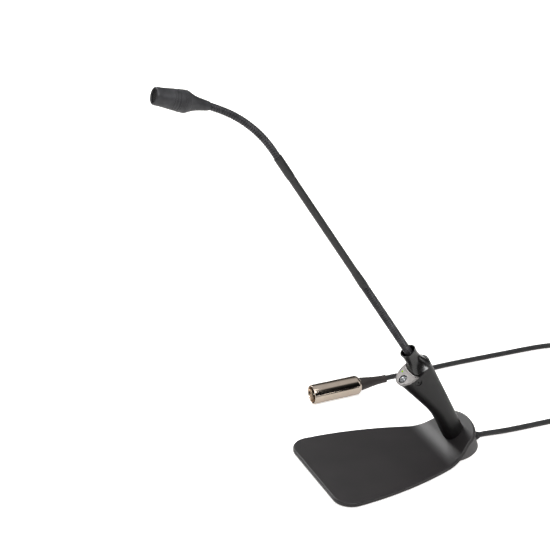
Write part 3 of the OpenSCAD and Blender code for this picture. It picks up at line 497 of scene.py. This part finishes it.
def cutOff(thing, point, normal):
    # cuts thing at a plane, takes away the side that normal points to and closes the cut
    pick(thing)
    bpy.ops.object.mode_set(mode="EDIT")
    bpy.ops.mesh.select_all(action="SELECT")
    bpy.ops.mesh.bisect(plane_co=Vector(point) * mm, plane_no=normal, use_fill=True, clear_outer=True)
    bpy.ops.mesh.select_all(action="SELECT")
    bpy.ops.mesh.normals_make_consistent(inside=False)
    bpy.ops.object.mode_set(mode="OBJECT")


# Base plate: drawn flat, scored across the bend, then bent up into the ramp
plate = {
    "front": -78.0, "under": 1.2, "top": 5.2,
    "frontHalf": 59.0, "spread": 0.021, "drawIn": 0.00163,  # half width along the plate
    "corner": 17.8, "endLength": 15.6,
    "flat": 114.7, "bendRadius": 32.8, "slope": 35.4, "ramp": 28.0,
    "scores": 20,
    "edge": [
        (1.2, 1.7), (1.2, 0.6), (1.35, 0.25), (1.7, 0.05), (2.2, 0.0), (2.85, 0.0), (2.95, 0.25),
        (3.15, 0.25), (3.25, 0.0), (4.1, 0.0), (4.5, 0.08), (4.85, 0.3), (5.08, 0.62), (5.18, 1.0),
        (5.2, 1.4), (5.2, 2.4),
    ],   # height, inset
    "postFoot": (0, 63.119, 16.537), "postLean": 26,
    "cableHole": 3.0, "postScrew": 6.2, "postScrewHole": 1.7,
    "housingScrew": (17.0, 60.0), "housingScrewHole": (1.25, 11.8),     # place; radius, depth
    "blank": [(-60, 90), (60, 90), (60, 190), (-60, 190)],              # covers the ramp when bent
}
bendLength = math.radians(plate["slope"]) * plate["bendRadius"]


def plateHalf(s):
    return plate["frontHalf"] + plate["spread"] * s - plate["drawIn"] * s * s


def plateOutline():
    corner = plate["corner"]
    endStart = plate["flat"] + bendLength + plate["ramp"] - plate["endLength"]
    straight = plateHalf(0) - corner
    right = [(straight * i / 8, 0.0) for i in range(8)]
    for i in range(18):
        t = math.pi / 2 * i / 18
        s = corner * (1 - math.cos(t))
        right.append((plateHalf(s) - corner + corner * math.sin(t), s))
    right += [(plateHalf(s), s) for s in (corner + (endStart - corner) * i / 44 for i in range(44))]
    for i in range(17):
        t = math.pi / 2 * i / 16
        right.append((plateHalf(endStart) * math.cos(t), endStart + plate["endLength"] * math.sin(t)))
    return right + [(-x, s) for x, s in reversed(right[1:-1])]


def bendUp(thing):
    pick(thing)
    bpy.ops.object.mode_set(mode="EDIT")
    for i in range(plate["scores"] + 1):
        bpy.ops.mesh.select_all(action="SELECT")
        place = (plate["flat"] + bendLength * i / plate["scores"]) * mm
        bpy.ops.mesh.bisect(plane_co=(0, place, 0), plane_no=(0, 1, 0))
    bpy.ops.object.mode_set(mode="OBJECT")
    radius, slope = plate["bendRadius"], math.radians(plate["slope"])
    for vert in thing.data.vertices:
        s, depth = vert.co.y / mm, plate["top"] - vert.co.z / mm
        turn = min(slope, max(0.0, (s - plate["flat"]) / radius))
        run = min(s, plate["flat"]) + plate["front"]
        past = max(0.0, s - plate["flat"] - bendLength)
        vert.co.y = (run + (radius + depth) * math.sin(turn) + past * math.cos(turn)) * mm
        vert.co.z = (plate["top"] + radius - (radius + depth) * math.cos(turn) + past * math.sin(turn)) * mm


def bentBlock(low, high):
    block = layerUp("bent_block", plate["blank"], [(low, 0), (high, 0)])
    bendUp(block)
    return block


postFrame = tipped(plate["postFoot"], plate["postLean"])
steel = layerUp("weighted_plate", plateOutline(), plate["edge"])
bendUp(steel)
drill(steel, plate["cableHole"], -8, 8, postFrame)
for side in (-1, 1):
    drill(steel, plate["postScrewHole"], -8, 8,
          postFrame @ Matrix.Translation((side * plate["postScrew"] * mm, 0, 0)))
    across, back = plate["housingScrew"]
    radius, depth = plate["housingScrewHole"]
    drill(steel, radius, 0, depth, Matrix.Translation((side * across * mm, back * mm, 0)))
settle(steel, "plate_paint", body="base", replaced=["base_plate"], smooth=28)
print("base plate built")


# Rear housing: a hollow tub under the ramp with screw bosses, cut to the ramp's underside
housing = {
    "front": 45.7, "mid": 54.0, "lowZ": 0.6, "topZ": 26.0,
    "halves": (29.0, 25.0), "rears": (88.0, 77.0),      # at the table and at the top
    "edge": [(0.6, 1.7), (0.7, 1.1), (0.95, 0.6), (1.4, 0.22), (2.1, 0.03), (3.0, 0.0), (26.0, 0.0)],
    "wall": 2.0, "floor": 2.2,
    "bossRadius": 3.2, "bossFoot": 1.0, "bossTop": 6.4, "screw": (17.0, 60.0),
    "screwHoles": [(1.7, 12), (3.1, 2.2)],             # shank and head: radius, depth
    "gland": 3.63, "glandZ": 4.4,
    "footHalf": 7.0, "footRadius": 5.03, "footY": 69.0, "footTop": 1.5,
}


def housingOutline(height):
    share = (height - housing["lowZ"]) / (housing["topZ"] - housing["lowZ"])
    half, rear = (low + (high - low) * share for low, high in (housing["halves"], housing["rears"]))
    reach = rear - housing["mid"]
    front = [(-half + 2 * half * i / 10, housing["front"]) for i in range(11)]
    return front + [(half * math.cos(math.pi * i / 60), housing["mid"] + reach * math.sin(math.pi * i / 60))
                    for i in range(61)]


def housingShell(name, profile):
    return ringUp(name, [[(x, y, height) for x, y in inset(housingOutline(height), amount)]
                         for height, amount in profile])


tub = housingShell("rear_housing_tub", housing["edge"])
carve(tub, housingShell("hollow", [(housing["floor"], housing["wall"]), (27.0, housing["wall"])]))
carve(tub, bentBlock(plate["under"] - 0.03, 36.0))
drill(tub, housing["gland"], 60, 100, Matrix.Translation((0, 0, housing["glandZ"] * mm))
      @ Matrix.Rotation(math.radians(-90), 4, "X"))
stadium = [(side * (housing["footHalf"] + housing["footRadius"] * math.cos(t)),
            housing["footY"] + side * housing["footRadius"] * math.sin(t))
           for side in (1, -1) for t in (math.pi * (i / 20 - 0.5) for i in range(21))]
carve(tub, layerUp("foot_pocket", stadium, [(-1, 0), (housing["footTop"], 0)]))
for side in (-1, 1):
    where = Matrix.Translation((side * housing["screw"][0] * mm, housing["screw"][1] * mm, 0))
    boss = turnUp("boss", [(housing["bossRadius"], housing["bossFoot"]),
                           (housing["bossRadius"], housing["bossTop"])], 32)
    carve(tub, boss, where, "UNION")
    for radius, depth in housing["screwHoles"]:
        drill(tub, radius, 0, depth, where)
settle(tub, "housing_plastic", body="base", replaced=["rear_housing"], smooth=30)
print("rear housing built")


# Post: a hollow leaning column whose front face flares under the panel
post = {
    "height": 85.3, "depth": 9.85, "footHalf": 11.0, "topHalf": 14.0, "squareness": 2.3,
    "flareFrom": 20.0, "flareFull": 44.0, "flareSlope": 0.3,
    "wall": 2.0, "floor": 14.0, "sides": 96,
    "heights": [-12, 0, 10, 20, 23, 26, 29, 32, 35, 38, 41, 44, 52, 60, 68, 76, 86, 98],
    "gap": 0.15, "screwHole": 1.5,      # gap between the post's foot and the ramp
    "sideHoles": [(2.9, -1.3, 8), (1.7, -8, 0)],                        # radius, from, to
}
panel = {
    "at": (0, 18.539, 89.698), "slope": 37, "half": 18.329, "rim": 0.58,
    "arc": (34.87, 38.0),               # centre and radius of the leaf's rear edge
    "leaf": [
        (-1.6, 1.95), (-1.4, 1.9), (-0.62, 1.9), (-0.55, 0.1), (-0.4, 0.0), (-0.16, 0.04),
        (-0.04, 0.16), (0.0, 0.36), (0.0, 1.0), (-0.14, 1.08), (-0.32, 1.2), (-0.32, 1.4),
        (-0.12, 1.48), (0.0, 1.6), (0.0, 2.4),
    ],                    # height, inset
    "play": 0.25, "buttonHole": 4.43, "lampHole": 0.98,
    "lug": [(6, -7.5), (10, -7.5), (10, -0.6), (6, -0.6)],
    "lugEdge": [(-9, 0.3), (-8.7, 0), (-1.9, 0), (-1.3, 0.2)], "lugHole": 1.53,
    "button": -11.729, "lamp": (-8.2, -7.129),
    "screw": (13.1, -4.029, -5.1),
}
panelFrame = tipped(panel["at"], panel["slope"])


def postRing(height, wall):
    flare = 0.0
    if height > post["flareFull"]:
        flare = post["flareSlope"] * (height - (post["flareFrom"] + post["flareFull"]) / 2)
    elif height > post["flareFrom"]:
        flare = (post["flareSlope"] * (height - post["flareFrom"]) ** 2
                 / (2 * (post["flareFull"] - post["flareFrom"])))
    share = min(1, max(0, height / post["height"]))
    half = post["footHalf"] + (post["topHalf"] - post["footHalf"]) * share - wall
    deep = post["depth"] + flare / 2 - wall
    points = [ovalPoint(half, deep, post["squareness"], math.tau * i / post["sides"])
              for i in range(post["sides"])]
    return [(x, y - flare / 2, height) for x, y in points]


shell = ringUp("post_column", [postRing(height, 0) for height in post["heights"]])
bore = ringUp("bore", [postRing(max(height, post["floor"]), post["wall"])
                       for height in post["heights"] if height >= 10])
carve(shell, bore)
shell.data.transform(postFrame)
cutOff(shell, Vector(panel["at"]) - along(panel["slope"]) * panel["rim"], along(panel["slope"]))
bendCentre = Vector((0, plate["front"] + plate["flat"], plate["top"] + plate["bendRadius"]))
rampTop = bendCentre - along(plate["slope"]) * plate["bendRadius"]
cutOff(shell, rampTop - along(plate["slope"]) * post["gap"], -along(plate["slope"]))
drill(shell, plate["cableHole"], -20, 20, postFrame)
for side in (-1, 1):
    drill(shell, post["screwHole"], -20, 12,
          postFrame @ Matrix.Translation((side * plate["postScrew"] * mm, 0, 0)))
screwFrame = (panelFrame @ Matrix.Translation(Vector(panel["screw"]) * mm)
              @ Matrix.Rotation(math.radians(90), 4, "Y"))
for radius, low, high in post["sideHoles"]:
    drill(shell, radius, low, high, screwFrame)
settle(shell, "post_paint", body="base", replaced=["post_shell"], smooth=30)
print("post built")


# Silver leaf on the post's front, with a groove just inside its rim
def leafOutline(amount):
    centre, radius = panel["arc"][0], panel["arc"][1] + amount
    halfX = post["topHalf"] - panel["play"] - amount
    halfY = panel["half"] - panel["play"] - amount
    low, high = math.radians(-60), math.radians(20)
    for step in range(40):              # where the oval meets the rear arc
        middle = (low + high) / 2
        x, y = ovalPoint(halfX, halfY, post["squareness"], middle)
        if math.hypot(x, y - centre) > radius:
            low = middle
        else:
            high = middle
    front = [ovalPoint(halfX, halfY, post["squareness"], -math.pi - low + (math.pi + 2 * low) * i / 120)
             for i in range(121)]
    reach = math.asin(front[-1][0] / radius)
    return front + [(radius * math.sin(turn), centre - radius * math.cos(turn))
                    for turn in (reach - 2 * reach * i / 40 for i in range(1, 40))]


leaf = ringUp("panel_leaf", [[(x, y, height) for x, y in leafOutline(amount)]
                             for height, amount in panel["leaf"]])
buttonPlace = Matrix.Translation((0, panel["button"] * mm, 0))
lampPlace = Matrix.Translation((panel["lamp"][0] * mm, panel["lamp"][1] * mm, 0))
drill(leaf, panel["buttonHole"], -3, 2, buttonPlace)
drill(leaf, panel["lampHole"], -3, 2, lampPlace)
lug = layerUp("lug", panel["lug"], panel["lugEdge"])
drill(lug, panel["lugHole"], -20, 8, panelFrame.inverted() @ screwFrame)
clearSelection()
lug.select_set(True)
leaf.select_set(True)
bpy.context.view_layer.objects.active = leaf
bpy.ops.object.join()
settle(leaf, "panel_silver", panelFrame, "base", ["top_panel"], 30)
print("panel built")


# Turned pieces: each profile holds (radius, height) pairs in mm in the piece's own frame. A closed
# profile is a ring's section; the others are solid and have their ends filled.
mouth = (0, 13.874, 108.999)            # where the neck leaves the boot
neckLean = 31.7
neckFrame = tipped(mouth, neckLean)
headAt = tuple(jointAt["upper_bend_3"] / mm)
headLean = 71.7
headFrame = tipped(headAt, headLean)
plugFrame = Matrix.Translation((-0.122, -0.024, 0.0095)) @ Matrix.Rotation(math.radians(-90), 4, "X")
buttonFrame = panelFrame @ buttonPlace
lampFrame = panelFrame @ lampPlace


def dome(radius, height, base, steps=8):
    # profile of a shallow cap from its rim to near its top
    ball = (radius * radius + height * height) / (2 * height)
    return [(r, base + height - ball + math.sqrt(ball * ball - r * r))
            for r in (radius * math.cos(math.pi / 2 * i / steps) for i in range(1, steps))]


turned = {
    "button_bezel_ring": {
        "frame": buttonFrame, "slot": "bezel_dark", "body": "base", "replaces": ["button_bezel"],
        "profile": [
            (3.15, -1.6), (4.4, -1.6), (4.4, 0.02), (4.35, 0.14), (4.24, 0.22), (4.12, 0.25),
            (4.0, 0.23), (3.9, 0.16), (3.22, -0.5), (3.15, -0.62),
        ],
    },
    "button_dome": {
        "frame": buttonFrame, "slot": "button_grey", "body": "button", "replaces": ["button_cap"],
        "closed": False,
        "profile": [
            (3.0, -2.5), (3.09, -2.4), (3.09, -0.75), (2.98, -0.63), (2.8, -0.6), (2.8, -0.1),
            (2.78, 0.02), *dome(2.8, 1.3, 0.0),
        ],
    },
    "lamp_dome": {
        "frame": lampFrame, "slot": "lamp_green", "body": "base", "replaces": ["lamp_lens"],
        "closed": False,
        "profile": [(0.95, -2.6), (0.95, 0.02), *dome(0.95, 0.6, 0.06)],
    },
    "lower_neck_ferrule": {
        "frame": neckFrame, "slot": "tube_black", "body": "tube", "replaces": ["lower_ferrule"],
        "profile": [
            (1.3, 87.15), (3.5, 87.15), (3.72, 87.3), (3.8, 87.7), (3.83, 90.0), (3.8, 92.4),
            (3.7, 92.55), (3.7, 92.85), (3.79, 93.0), (3.76, 95.5), (3.66, 99.5), (3.56, 103.2),
            (3.5, 104.4), (3.4, 104.7), (3.33, 104.7), (3.33, 91.6), (1.3, 91.6),
        ],
    },
    "neck_tube": {
        "frame": neckFrame, "slot": "tube_black", "body": "tube", "replaces": ["rigid_tube"],
        "profile": [
            (2.4, 91.65), (3.2, 91.65), (3.3, 91.8), (3.3, 105.6), (3.2, 105.7), (3.2, 106.0),
            (3.3, 106.1), (3.3, 130.0), (3.3, 160.0), (3.3, 190.0), (3.3, 217.3), (3.2, 217.4),
            (3.2, 217.7), (3.3, 217.8), (3.3, 237.8), (2.4, 237.8),
        ],
    },
    "upper_neck_ferrule": {
        "frame": neckFrame, "slot": "tube_black", "body": "tube", "replaces": ["upper_ferrule"],
        "profile": [
            (3.33, 218.4), (3.38, 218.4), (3.45, 218.6), (3.55, 219.6), (3.66, 221.2), (3.68, 222.4),
            (3.68, 239.6), (3.6, 239.7), (3.6, 240.0), (3.68, 240.1), (3.66, 241.9), (3.55, 242.25),
            (3.35, 242.38), (1.3, 242.38), (1.3, 237.9), (3.33, 237.9),
        ],
    },
    "head_taper": {
        "frame": headFrame, "slot": "head_black", "body": "head", "replaces": ["head_cone"],
        "profile": [
            (1.3, 1.15), (3.3, 1.15), (3.55, 1.3), (3.72, 1.8), (3.98, 2.9), (4.25, 4.2), (4.5, 6.1),
            (4.8, 8.1), (5.18, 10.4), (5.62, 12.5), (6.18, 14.7), (6.85, 16.6), (7.75, 18.7),
            (7.72, 18.82), (7.8, 18.98), (7.98, 19.15), (8.62, 20.5), (9.02, 21.6), (9.14, 21.95),
            (9.16, 22.3), (9.14, 23.9), (8.9, 24.08), (5.35, 24.08), (2.5, 16.1), (1.3, 16.1),
        ],
    },
    "head_lock_ring": {
        "frame": headFrame, "slot": "head_black", "body": "head", "replaces": ["lock_ring"],
        "profile": [
            (6.1, 24.12), (8.9, 24.12), (9.1, 24.25), (9.12, 24.5), (9.05, 26.0), (8.98, 27.8),
            (8.85, 28.02), (8.7, 28.08), (6.1, 28.08),
        ],
    },
    "plug_sleeve": {
        "frame": plugFrame, "slot": "plug_nickel", "body": "base", "replaces": ["plug_shell"],
        "sides": 96,
        "profile": [
            (8.3, 0.45), (8.45, 0.1), (8.75, 0.0), (9.15, 0.0), (9.4, 0.14), (9.5, 0.45), (9.5, 20.0),
            (9.5, 34.0), (9.5, 46.9), (9.38, 47.7), (9.0, 48.6), (8.3, 49.6), (7.7, 50.3),
            (7.45, 50.55), (7.3, 50.6), (5.58, 50.6), (5.58, 42.6), (8.3, 42.6), (8.3, 20.0),
        ],
    },
    "plug_strain_boot": {
        "frame": plugFrame @ Matrix.Translation((0, 0, 0.0506)), "slot": "plug_boot_black", "body": "base",
        "replaces": ["plug_boot"],
        "profile": [
            (5.18, -3.9), (5.5, -3.9), (5.53, -3.6), (5.53, -0.02), (6.3, 0.02), (6.45, 0.2),
            (6.42, 1.5), (6.2, 4.0), (5.75, 7.5), (5.15, 11.5), (4.6, 15.5), (4.2, 19.5), (3.92, 23.5),
            (3.82, 26.0), (3.86, 28.0), (3.95, 28.9), (3.85, 29.25), (3.55, 29.4), (2.68, 29.4),
            (2.63, 27.0), (2.63, 0.0), (5.18, 0.0),
        ],
    },
    "cable_exit_gland": {
        "frame": Matrix.Translation((0, 0, 0.0044)) @ Matrix.Rotation(math.radians(-90), 4, "X"),
        "slot": "gland_rubber", "body": "base", "replaces": ["cable_gland"],
        "profile": [
            (2.63, 76.0), (3.5, 76.0), (3.6, 76.2), (3.6, 88.02), (4.05, 88.05), (4.12, 88.3),
            (4.05, 88.7), (3.8, 89.3), (3.68, 89.4), (3.68, 89.75), (3.7, 89.85), (3.45, 90.6),
            (3.2, 91.3), (3.08, 91.8), (2.95, 91.98), (2.7, 91.98),
        ],
    },
}
turnedPieces = {}
for name, piece in turned.items():
    thing = turnUp(name, piece["profile"], piece.get("sides", 64), piece.get("closed", True))
    settle(thing, piece["slot"], piece["frame"], piece["body"], piece["replaces"], 28)
    turnedPieces[name] = thing
print("turned pieces built")


# Capsule housing: turned, with two sound slots cut in its lower side
capsuleHousing = {
    "profile": [
        (5.75, 28.12), (8.68, 28.12), (8.82, 28.22), (8.9, 28.4), (8.92, 28.8), (8.86, 29.1),
        (8.7, 29.25), (8.36, 29.4), (8.32, 29.9), (8.62, 30.05), (8.66, 30.3), (8.56, 31.4),
        (8.2, 31.55), (8.15, 32.2), (8.46, 32.35), (8.4, 33.5), (8.1, 33.65), (8.06, 34.1),
        (8.3, 34.25), (8.05, 36.6), (7.72, 40.0), (7.42, 43.6), (7.36, 45.2), (7.34, 47.2),
        (7.26, 48.0), (7.0, 48.6), (6.6, 49.0), (6.2, 49.1), (5.9, 49.0), (5.75, 48.7),
    ],
    "slotTurns": (250, 290), "slotHeight": 37.1, "slotWide": 1.6, "slotLong": 5.6, "slotAt": 7.9,
}
ported = turnUp("capsule_housing_body", capsuleHousing["profile"], 64, True)
wide, long = capsuleHousing["slotWide"] / 2, capsuleHousing["slotLong"] / 2
slotOutline = [(wide * math.cos(t), math.copysign(long - wide, math.sin(t)) + wide * math.sin(t))
               for t in (math.tau * (i + 0.5) / 24 for i in range(24))]
slotPlace = (Matrix.Translation((capsuleHousing["slotAt"] * mm, 0, capsuleHousing["slotHeight"] * mm))
             @ Matrix.Rotation(math.radians(90), 4, "Y") @ Matrix.Rotation(math.radians(90), 4, "Z"))
for turn in capsuleHousing["slotTurns"]:
    slotBar = layerUp("slot_bar", slotOutline, [(-2, 0), (2, 0)])
    carve(ported, slotBar, Matrix.Rotation(math.radians(turn), 4, "Z") @ slotPlace)
settle(ported, "head_black", headFrame, "head", ["capsule_housing"], 28)
print("head built")


# Boot: flares from the neck's cup down to the post's oval top
boot = {
    "height": 18.3, "flare": 14.0, "power": 2.2, "half": (12.9, 9.83), "mid": 1.0, "squareness": 2.8,
    "waist": 6.85, "sides": 80,
    "heights": [0.0, 0.4, 0.8, 1.3, 1.8, 2.4, 3.0, 3.7, 4.5, 5.3, 6.2, 7.2, 8.2, 9.4, 10.6, 11.8,
                13.0, 14.6],
    "rim": [
        (6.95, 16.2), (7.1, 17.6), (7.32, 18.8), (7.52, 19.5), (7.54, 19.75), (7.42, 19.95),
        (7.15, 20.05), (6.8, 20.0), (6.52, 19.8), (6.36, 19.4), (6.2, 18.4), (6.0, 16.0), (6.0, 6.3),
        (5.43, 6.3),
    ],
    "bore": 5.43,
    "under": -0.6, "tip": 5.3,          # the boot's foot follows the panel, tipped against the neck
}


def bootRing(height, foot=False):
    share = max(0, 1 - height / boot["flare"]) ** boot["power"]
    ring = []
    for i in range(boot["sides"]):
        angle = math.tau * i / boot["sides"]
        wide = ovalPoint(*boot["half"], boot["squareness"], angle)
        x = share * wide[0] + (1 - share) * boot["waist"] * math.cos(angle)
        y = share * (wide[1] + boot["mid"]) + (1 - share) * boot["waist"] * math.sin(angle)
        ring.append((x, y, boot["under"] + y * math.tan(math.radians(boot["tip"])) if foot else height))
    return ring


bootRings = [bootRing(0, foot=True)] + [bootRing(height) for height in boot["heights"]]
bootRings += [circleRing(radius, height, boot["sides"]) for radius, height in boot["rim"]]
bootRings.append([(x, y, boot["under"] + y * math.tan(math.radians(boot["tip"])))
                  for x, y, z in circleRing(boot["bore"], 0, boot["sides"])])
cup = ringUp("neck_boot_cup", bootRings, True)
bootFrame = tipped(Vector(mouth) - along(neckLean) * boot["height"], neckLean)
settle(cup, "boot_black", bootFrame, "base", ["neck_boot"], 40)
print("boot built")


# Flexible tubes: a wound wire, cut where one body hands over to the next
flex = {
    "pitch": 2.4, "depth": 0.62, "steps": 32,
    "lower": {"radius": 3.7, "from": -8.0, "seams": [3.5, 20.5, 37.5, 54.5, 71.5, 87.1]},
    "upper": {"radius": 3.2, "from": 242.42, "link": 15.85, "first": 257.2, "turn": 8.0,
              "past": 2.2, "spare": 4.0},   # how far it runs into the head, and past the last cut
}


def windWire(name, radius, length):
    # half a small ring of wire is wound up along Z
    pitch = flex["pitch"]
    clearSelection()
    bpy.ops.mesh.primitive_circle_add(vertices=12, radius=pitch / 2 * mm, rotation=(math.radians(90), 0, 0))
    thing = bpy.context.object
    thing.name = name
    bpy.ops.object.transform_apply(rotation=True)
    bpy.ops.object.mode_set(mode="EDIT")
    mesh = bmesh.from_edit_mesh(thing.data)
    inner = [vert for vert in mesh.verts if vert.co.x < -0.0001 * mm]
    bmesh.ops.delete(mesh, geom=inner, context="VERTS")
    for vert in mesh.verts:
        vert.co.x = vert.co.x / (pitch / 2) * flex["depth"] + (radius - flex["depth"]) * mm
    bmesh.update_edit_mesh(thing.data)
    bpy.ops.object.mode_set(mode="OBJECT")
    wind = thing.modifiers.new("wind", "SCREW")
    wind.axis = "Z"
    wind.screw_offset = pitch * mm
    wind.iterations = math.ceil(length / pitch) + 2
    wind.steps = flex["steps"]
    wind.render_steps = flex["steps"]
    wind.use_merge_vertices = True
    wind.merge_threshold = 0.00001
    bpy.ops.object.modifier_apply(modifier="wind")
    bpy.ops.object.mode_set(mode="EDIT")
    bpy.ops.mesh.select_all(action="SELECT")
    bpy.ops.mesh.remove_doubles(threshold=0.00001)
    bpy.ops.mesh.normals_make_consistent(inside=False)
    bpy.ops.object.mode_set(mode="OBJECT")
    thing.data.transform(Matrix.Translation((0, 0, -pitch * mm)))
    return thing


def copyPiece(source, name):
    thing = source.copy()
    thing.data = source.data.copy()
    thing.name = name
    thing.data.name = name
    bpy.context.scene.collection.objects.link(thing)
    return thing


def layWinding(name, wire, cuts, leans, bodies, replaced):
    # cuts the wire across at each place; only the first length is attached to a body, the others stay where they
    # are
    pieces = []
    for number in range(len(cuts) - 1):
        part = copyPiece(wire, f"{name}_{number + 1}")
        cutOff(part, cuts[number + 1], along(leans[number + 1]))
        cutOff(part, cuts[number], -along(leans[number]))
        pieces.append(settle(part, "flex_black", smooth=60))
    bpy.data.objects.remove(wire)
    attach(pieces[0], bodies[0])
    for number, part in enumerate(pieces[1:]):
        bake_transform(part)
    for part, node in zip(pieces, replaced):
        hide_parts(node)


lowerFlex = flex["lower"]
lowerSeams = [lowerFlex["from"], *lowerFlex["seams"]]
lowerWire = windWire("lower_wire", lowerFlex["radius"], lowerSeams[-1] - lowerSeams[0])
lowerWire.data.transform(neckFrame @ Matrix.Translation((0, 0, lowerSeams[0] * mm)))
lowerCuts = [Vector(mouth) + along(neckLean) * station for station in lowerSeams]
layWinding("lower_winding", lowerWire, lowerCuts, [neckLean] * len(lowerCuts),
           ["base", "lower_2", "lower_3", "lower_4", "lower_5", "tube"],
           [f"lower_flex_{number}" for number in range(1, 7)])

upperFlex = flex["upper"]
upperLeans = [neckLean + upperFlex["turn"] * number for number in range(6)]
hinge = Vector(mouth) + along(neckLean) * upperFlex["first"]
half = upperFlex["link"] / 2
upperCuts = [Vector(mouth) + along(neckLean) * upperFlex["from"], hinge - along(neckLean) * half]
for number in range(1, 5):
    upperCuts.append(hinge + along(upperLeans[number]) * half)
    hinge = hinge + along(upperLeans[number]) * upperFlex["link"]
upperCuts.append(hinge + along(upperLeans[5]) * upperFlex["past"])
upperLine = bpy.data.curves.new("upper_line", "CURVE")
upperLine.dimensions = "3D"
upperLine.resolution_u = 24
bend = upperLine.splines.new("BEZIER")
knots = upperCuts + [upperCuts[-1] + along(upperLeans[5]) * upperFlex["spare"]]
knotLeans = [upperLeans[0], *upperLeans, upperLeans[5]]
bend.bezier_points.add(len(knots) - 1)
for number, (point, lean) in enumerate(zip(bend.bezier_points, knotLeans)):
    place = knots[number]
    ahead = (knots[min(number + 1, len(knots) - 1)] - place).length / 3
    behind = (place - knots[max(number - 1, 0)]).length / 3
    point.co = place * mm
    point.handle_right = (place + along(lean) * ahead) * mm
    point.handle_left = (place - along(lean) * behind) * mm
lineThing = bpy.data.objects.new("upper_line", upperLine)
bpy.context.scene.collection.objects.link(lineThing)
length = sum((b - a).length for a, b in zip(knots, knots[1:]))
upperWire = windWire("upper_wire", upperFlex["radius"], length)
follow = upperWire.modifiers.new("follow", "CURVE")
follow.object = lineThing
follow.deform_axis = "POS_Z"
pick(upperWire)
bpy.ops.object.modifier_apply(modifier="follow")
bpy.data.objects.remove(lineThing)
layWinding("upper_winding", upperWire, upperCuts, [upperLeans[0], *upperLeans],
           ["tube", "upper_2", "upper_3", "upper_4", "upper_5", "head"],
           [f"upper_flex_{number}" for number in range(1, 6)])
print("neck wound")


# Cable

cable = {
    "diameter": 5.2,
    "length": 2.95,                     # m, attached cable
    "coilCentre": (-36.6, 248.0),
    "coilRadii": (39.6, 23.7),          # outermost and innermost turn
    "turnsPerLayer": 3,
    "layerHeights": (3.5, 8.8, 14.1, 19.4),
    "holdTurn": 30,                     # degrees a turn stays on its radius where it climbs
    "climbTurn": 120,                   # degrees that the climb takes
    "fromBase": [
        (0, 90, 4.4), (0, 92, 4.4), (0, 98, 4.2), (0.5, 108, 3.6), (1, 120, 3), (1.5, 132, 2.75),
        (2, 145, 2.7), (2.5, 158, 2.7), (3, 171, 2.7), (3, 184, 2.7), (3, 197, 2.8), (3, 210, 3.1),
        (3, 224, 3.3), (3, 237, 3.45),
    ],
    "toPlug": [
        (-46, 287.7, 19.3), (-58, 288.6, 18), (-70, 289.8, 14), (-81, 289.8, 9), (-92, 287.4, 5),
        (-102, 282.7, 3.1), (-111, 276.3, 2.7), (-118.8, 268, 2.7), (-124.4, 258, 2.7),
        (-127.8, 247, 2.7), (-129.6, 235, 2.7), (-130.5, 222, 2.7), (-131, 208, 2.7),
        (-131.5, 195, 2.7), (-132, 182, 2.7), (-132.5, 169, 2.7), (-133, 156, 2.7), (-133.4, 143, 2.7),
        (-133.6, 130, 2.7), (-133.4, 118, 2.7), (-132.7, 106, 3), (-131, 94, 4), (-128.4, 82, 5.6),
        (-125.6, 71, 7.6), (-123.6, 63, 9), (-122.8, 56, 9.5),
    ],
    "exit": (0, 92, 4.4),
}


def coilPoints():
    outer, inner = cable["coilRadii"]
    step = (outer - inner) / cable["turnsPerLayer"]
    spiral = 360 * cable["turnsPerLayer"]
    layer = spiral + cable["holdTurn"]
    heights = cable["layerHeights"]
    total = layer * len(heights) - cable["holdTurn"]
    points = []
    for degree in range(0, int(total) + 1, 10):
        number, into = divmod(degree, layer)
        number = min(number, len(heights) - 1)
        into = min(degree - number * layer, spiral)
        radius = outer - step * into / 360 if number % 2 == 0 else inner + step * into / 360
        height = heights[0]
        for lower in range(len(heights) - 1):
            middle = layer * (lower + 1) - cable["holdTurn"] / 2
            share = min(1, max(0, (degree - middle) / cable["climbTurn"] + 0.5))
            height += (heights[lower + 1] - heights[lower]) * share * share * (3 - 2 * share)
        angle = math.radians(degree)
        points.append((cable["coilCentre"][0] + radius * math.cos(angle),
                       cable["coilCentre"][1] + radius * math.sin(angle), height))
    return points


def smoothRoute(points, steps):
    # a rounded line through all points
    route = []
    last = len(points) - 1
    for i in range(last):
        a, b, c, d = (Vector(points[max(0, min(last, i + k))]) for k in (-1, 0, 1, 2))
        for k in range(steps):
            t = k / steps
            route.append(0.5 * (2 * b + (c - a) * t + (2 * a - 5 * b + 4 * c - d) * t * t
                                + (3 * b - 3 * c + d - a) * t * t * t))
    return route + [Vector(points[last])]


def makeCable():
    route = smoothRoute(cable["fromBase"] + coilPoints() + cable["toPlug"], 3)
    curve = bpy.data.curves.new("cable", "CURVE")
    curve.dimensions = "3D"
    curve.bevel_depth = cable["diameter"] / 2 * mm
    curve.bevel_resolution = 5
    curve.use_fill_caps = True
    line = curve.splines.new("POLY")
    line.points.add(len(route) - 1)
    for point, co in zip(line.points, route):
        point.co = (*(co * mm), 1)
    thing = bpy.data.objects.new("cable", curve)
    bpy.context.scene.collection.objects.link(thing)
    curve.materials.append(materials["cable_jacket"])
    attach(thing, "base")
    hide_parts("cord_leg_a", "cord_coil", "cord_leg_b")
    return thing


cableThing = makeCable()
print("cable laid")

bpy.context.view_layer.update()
plugParts = [turnedPieces["plug_sleeve"], turnedPieces["plug_strain_boot"]]
plugParts += [nodes[name] for name in ("plug_chuck", "plug_insert", "plug_contacts")]
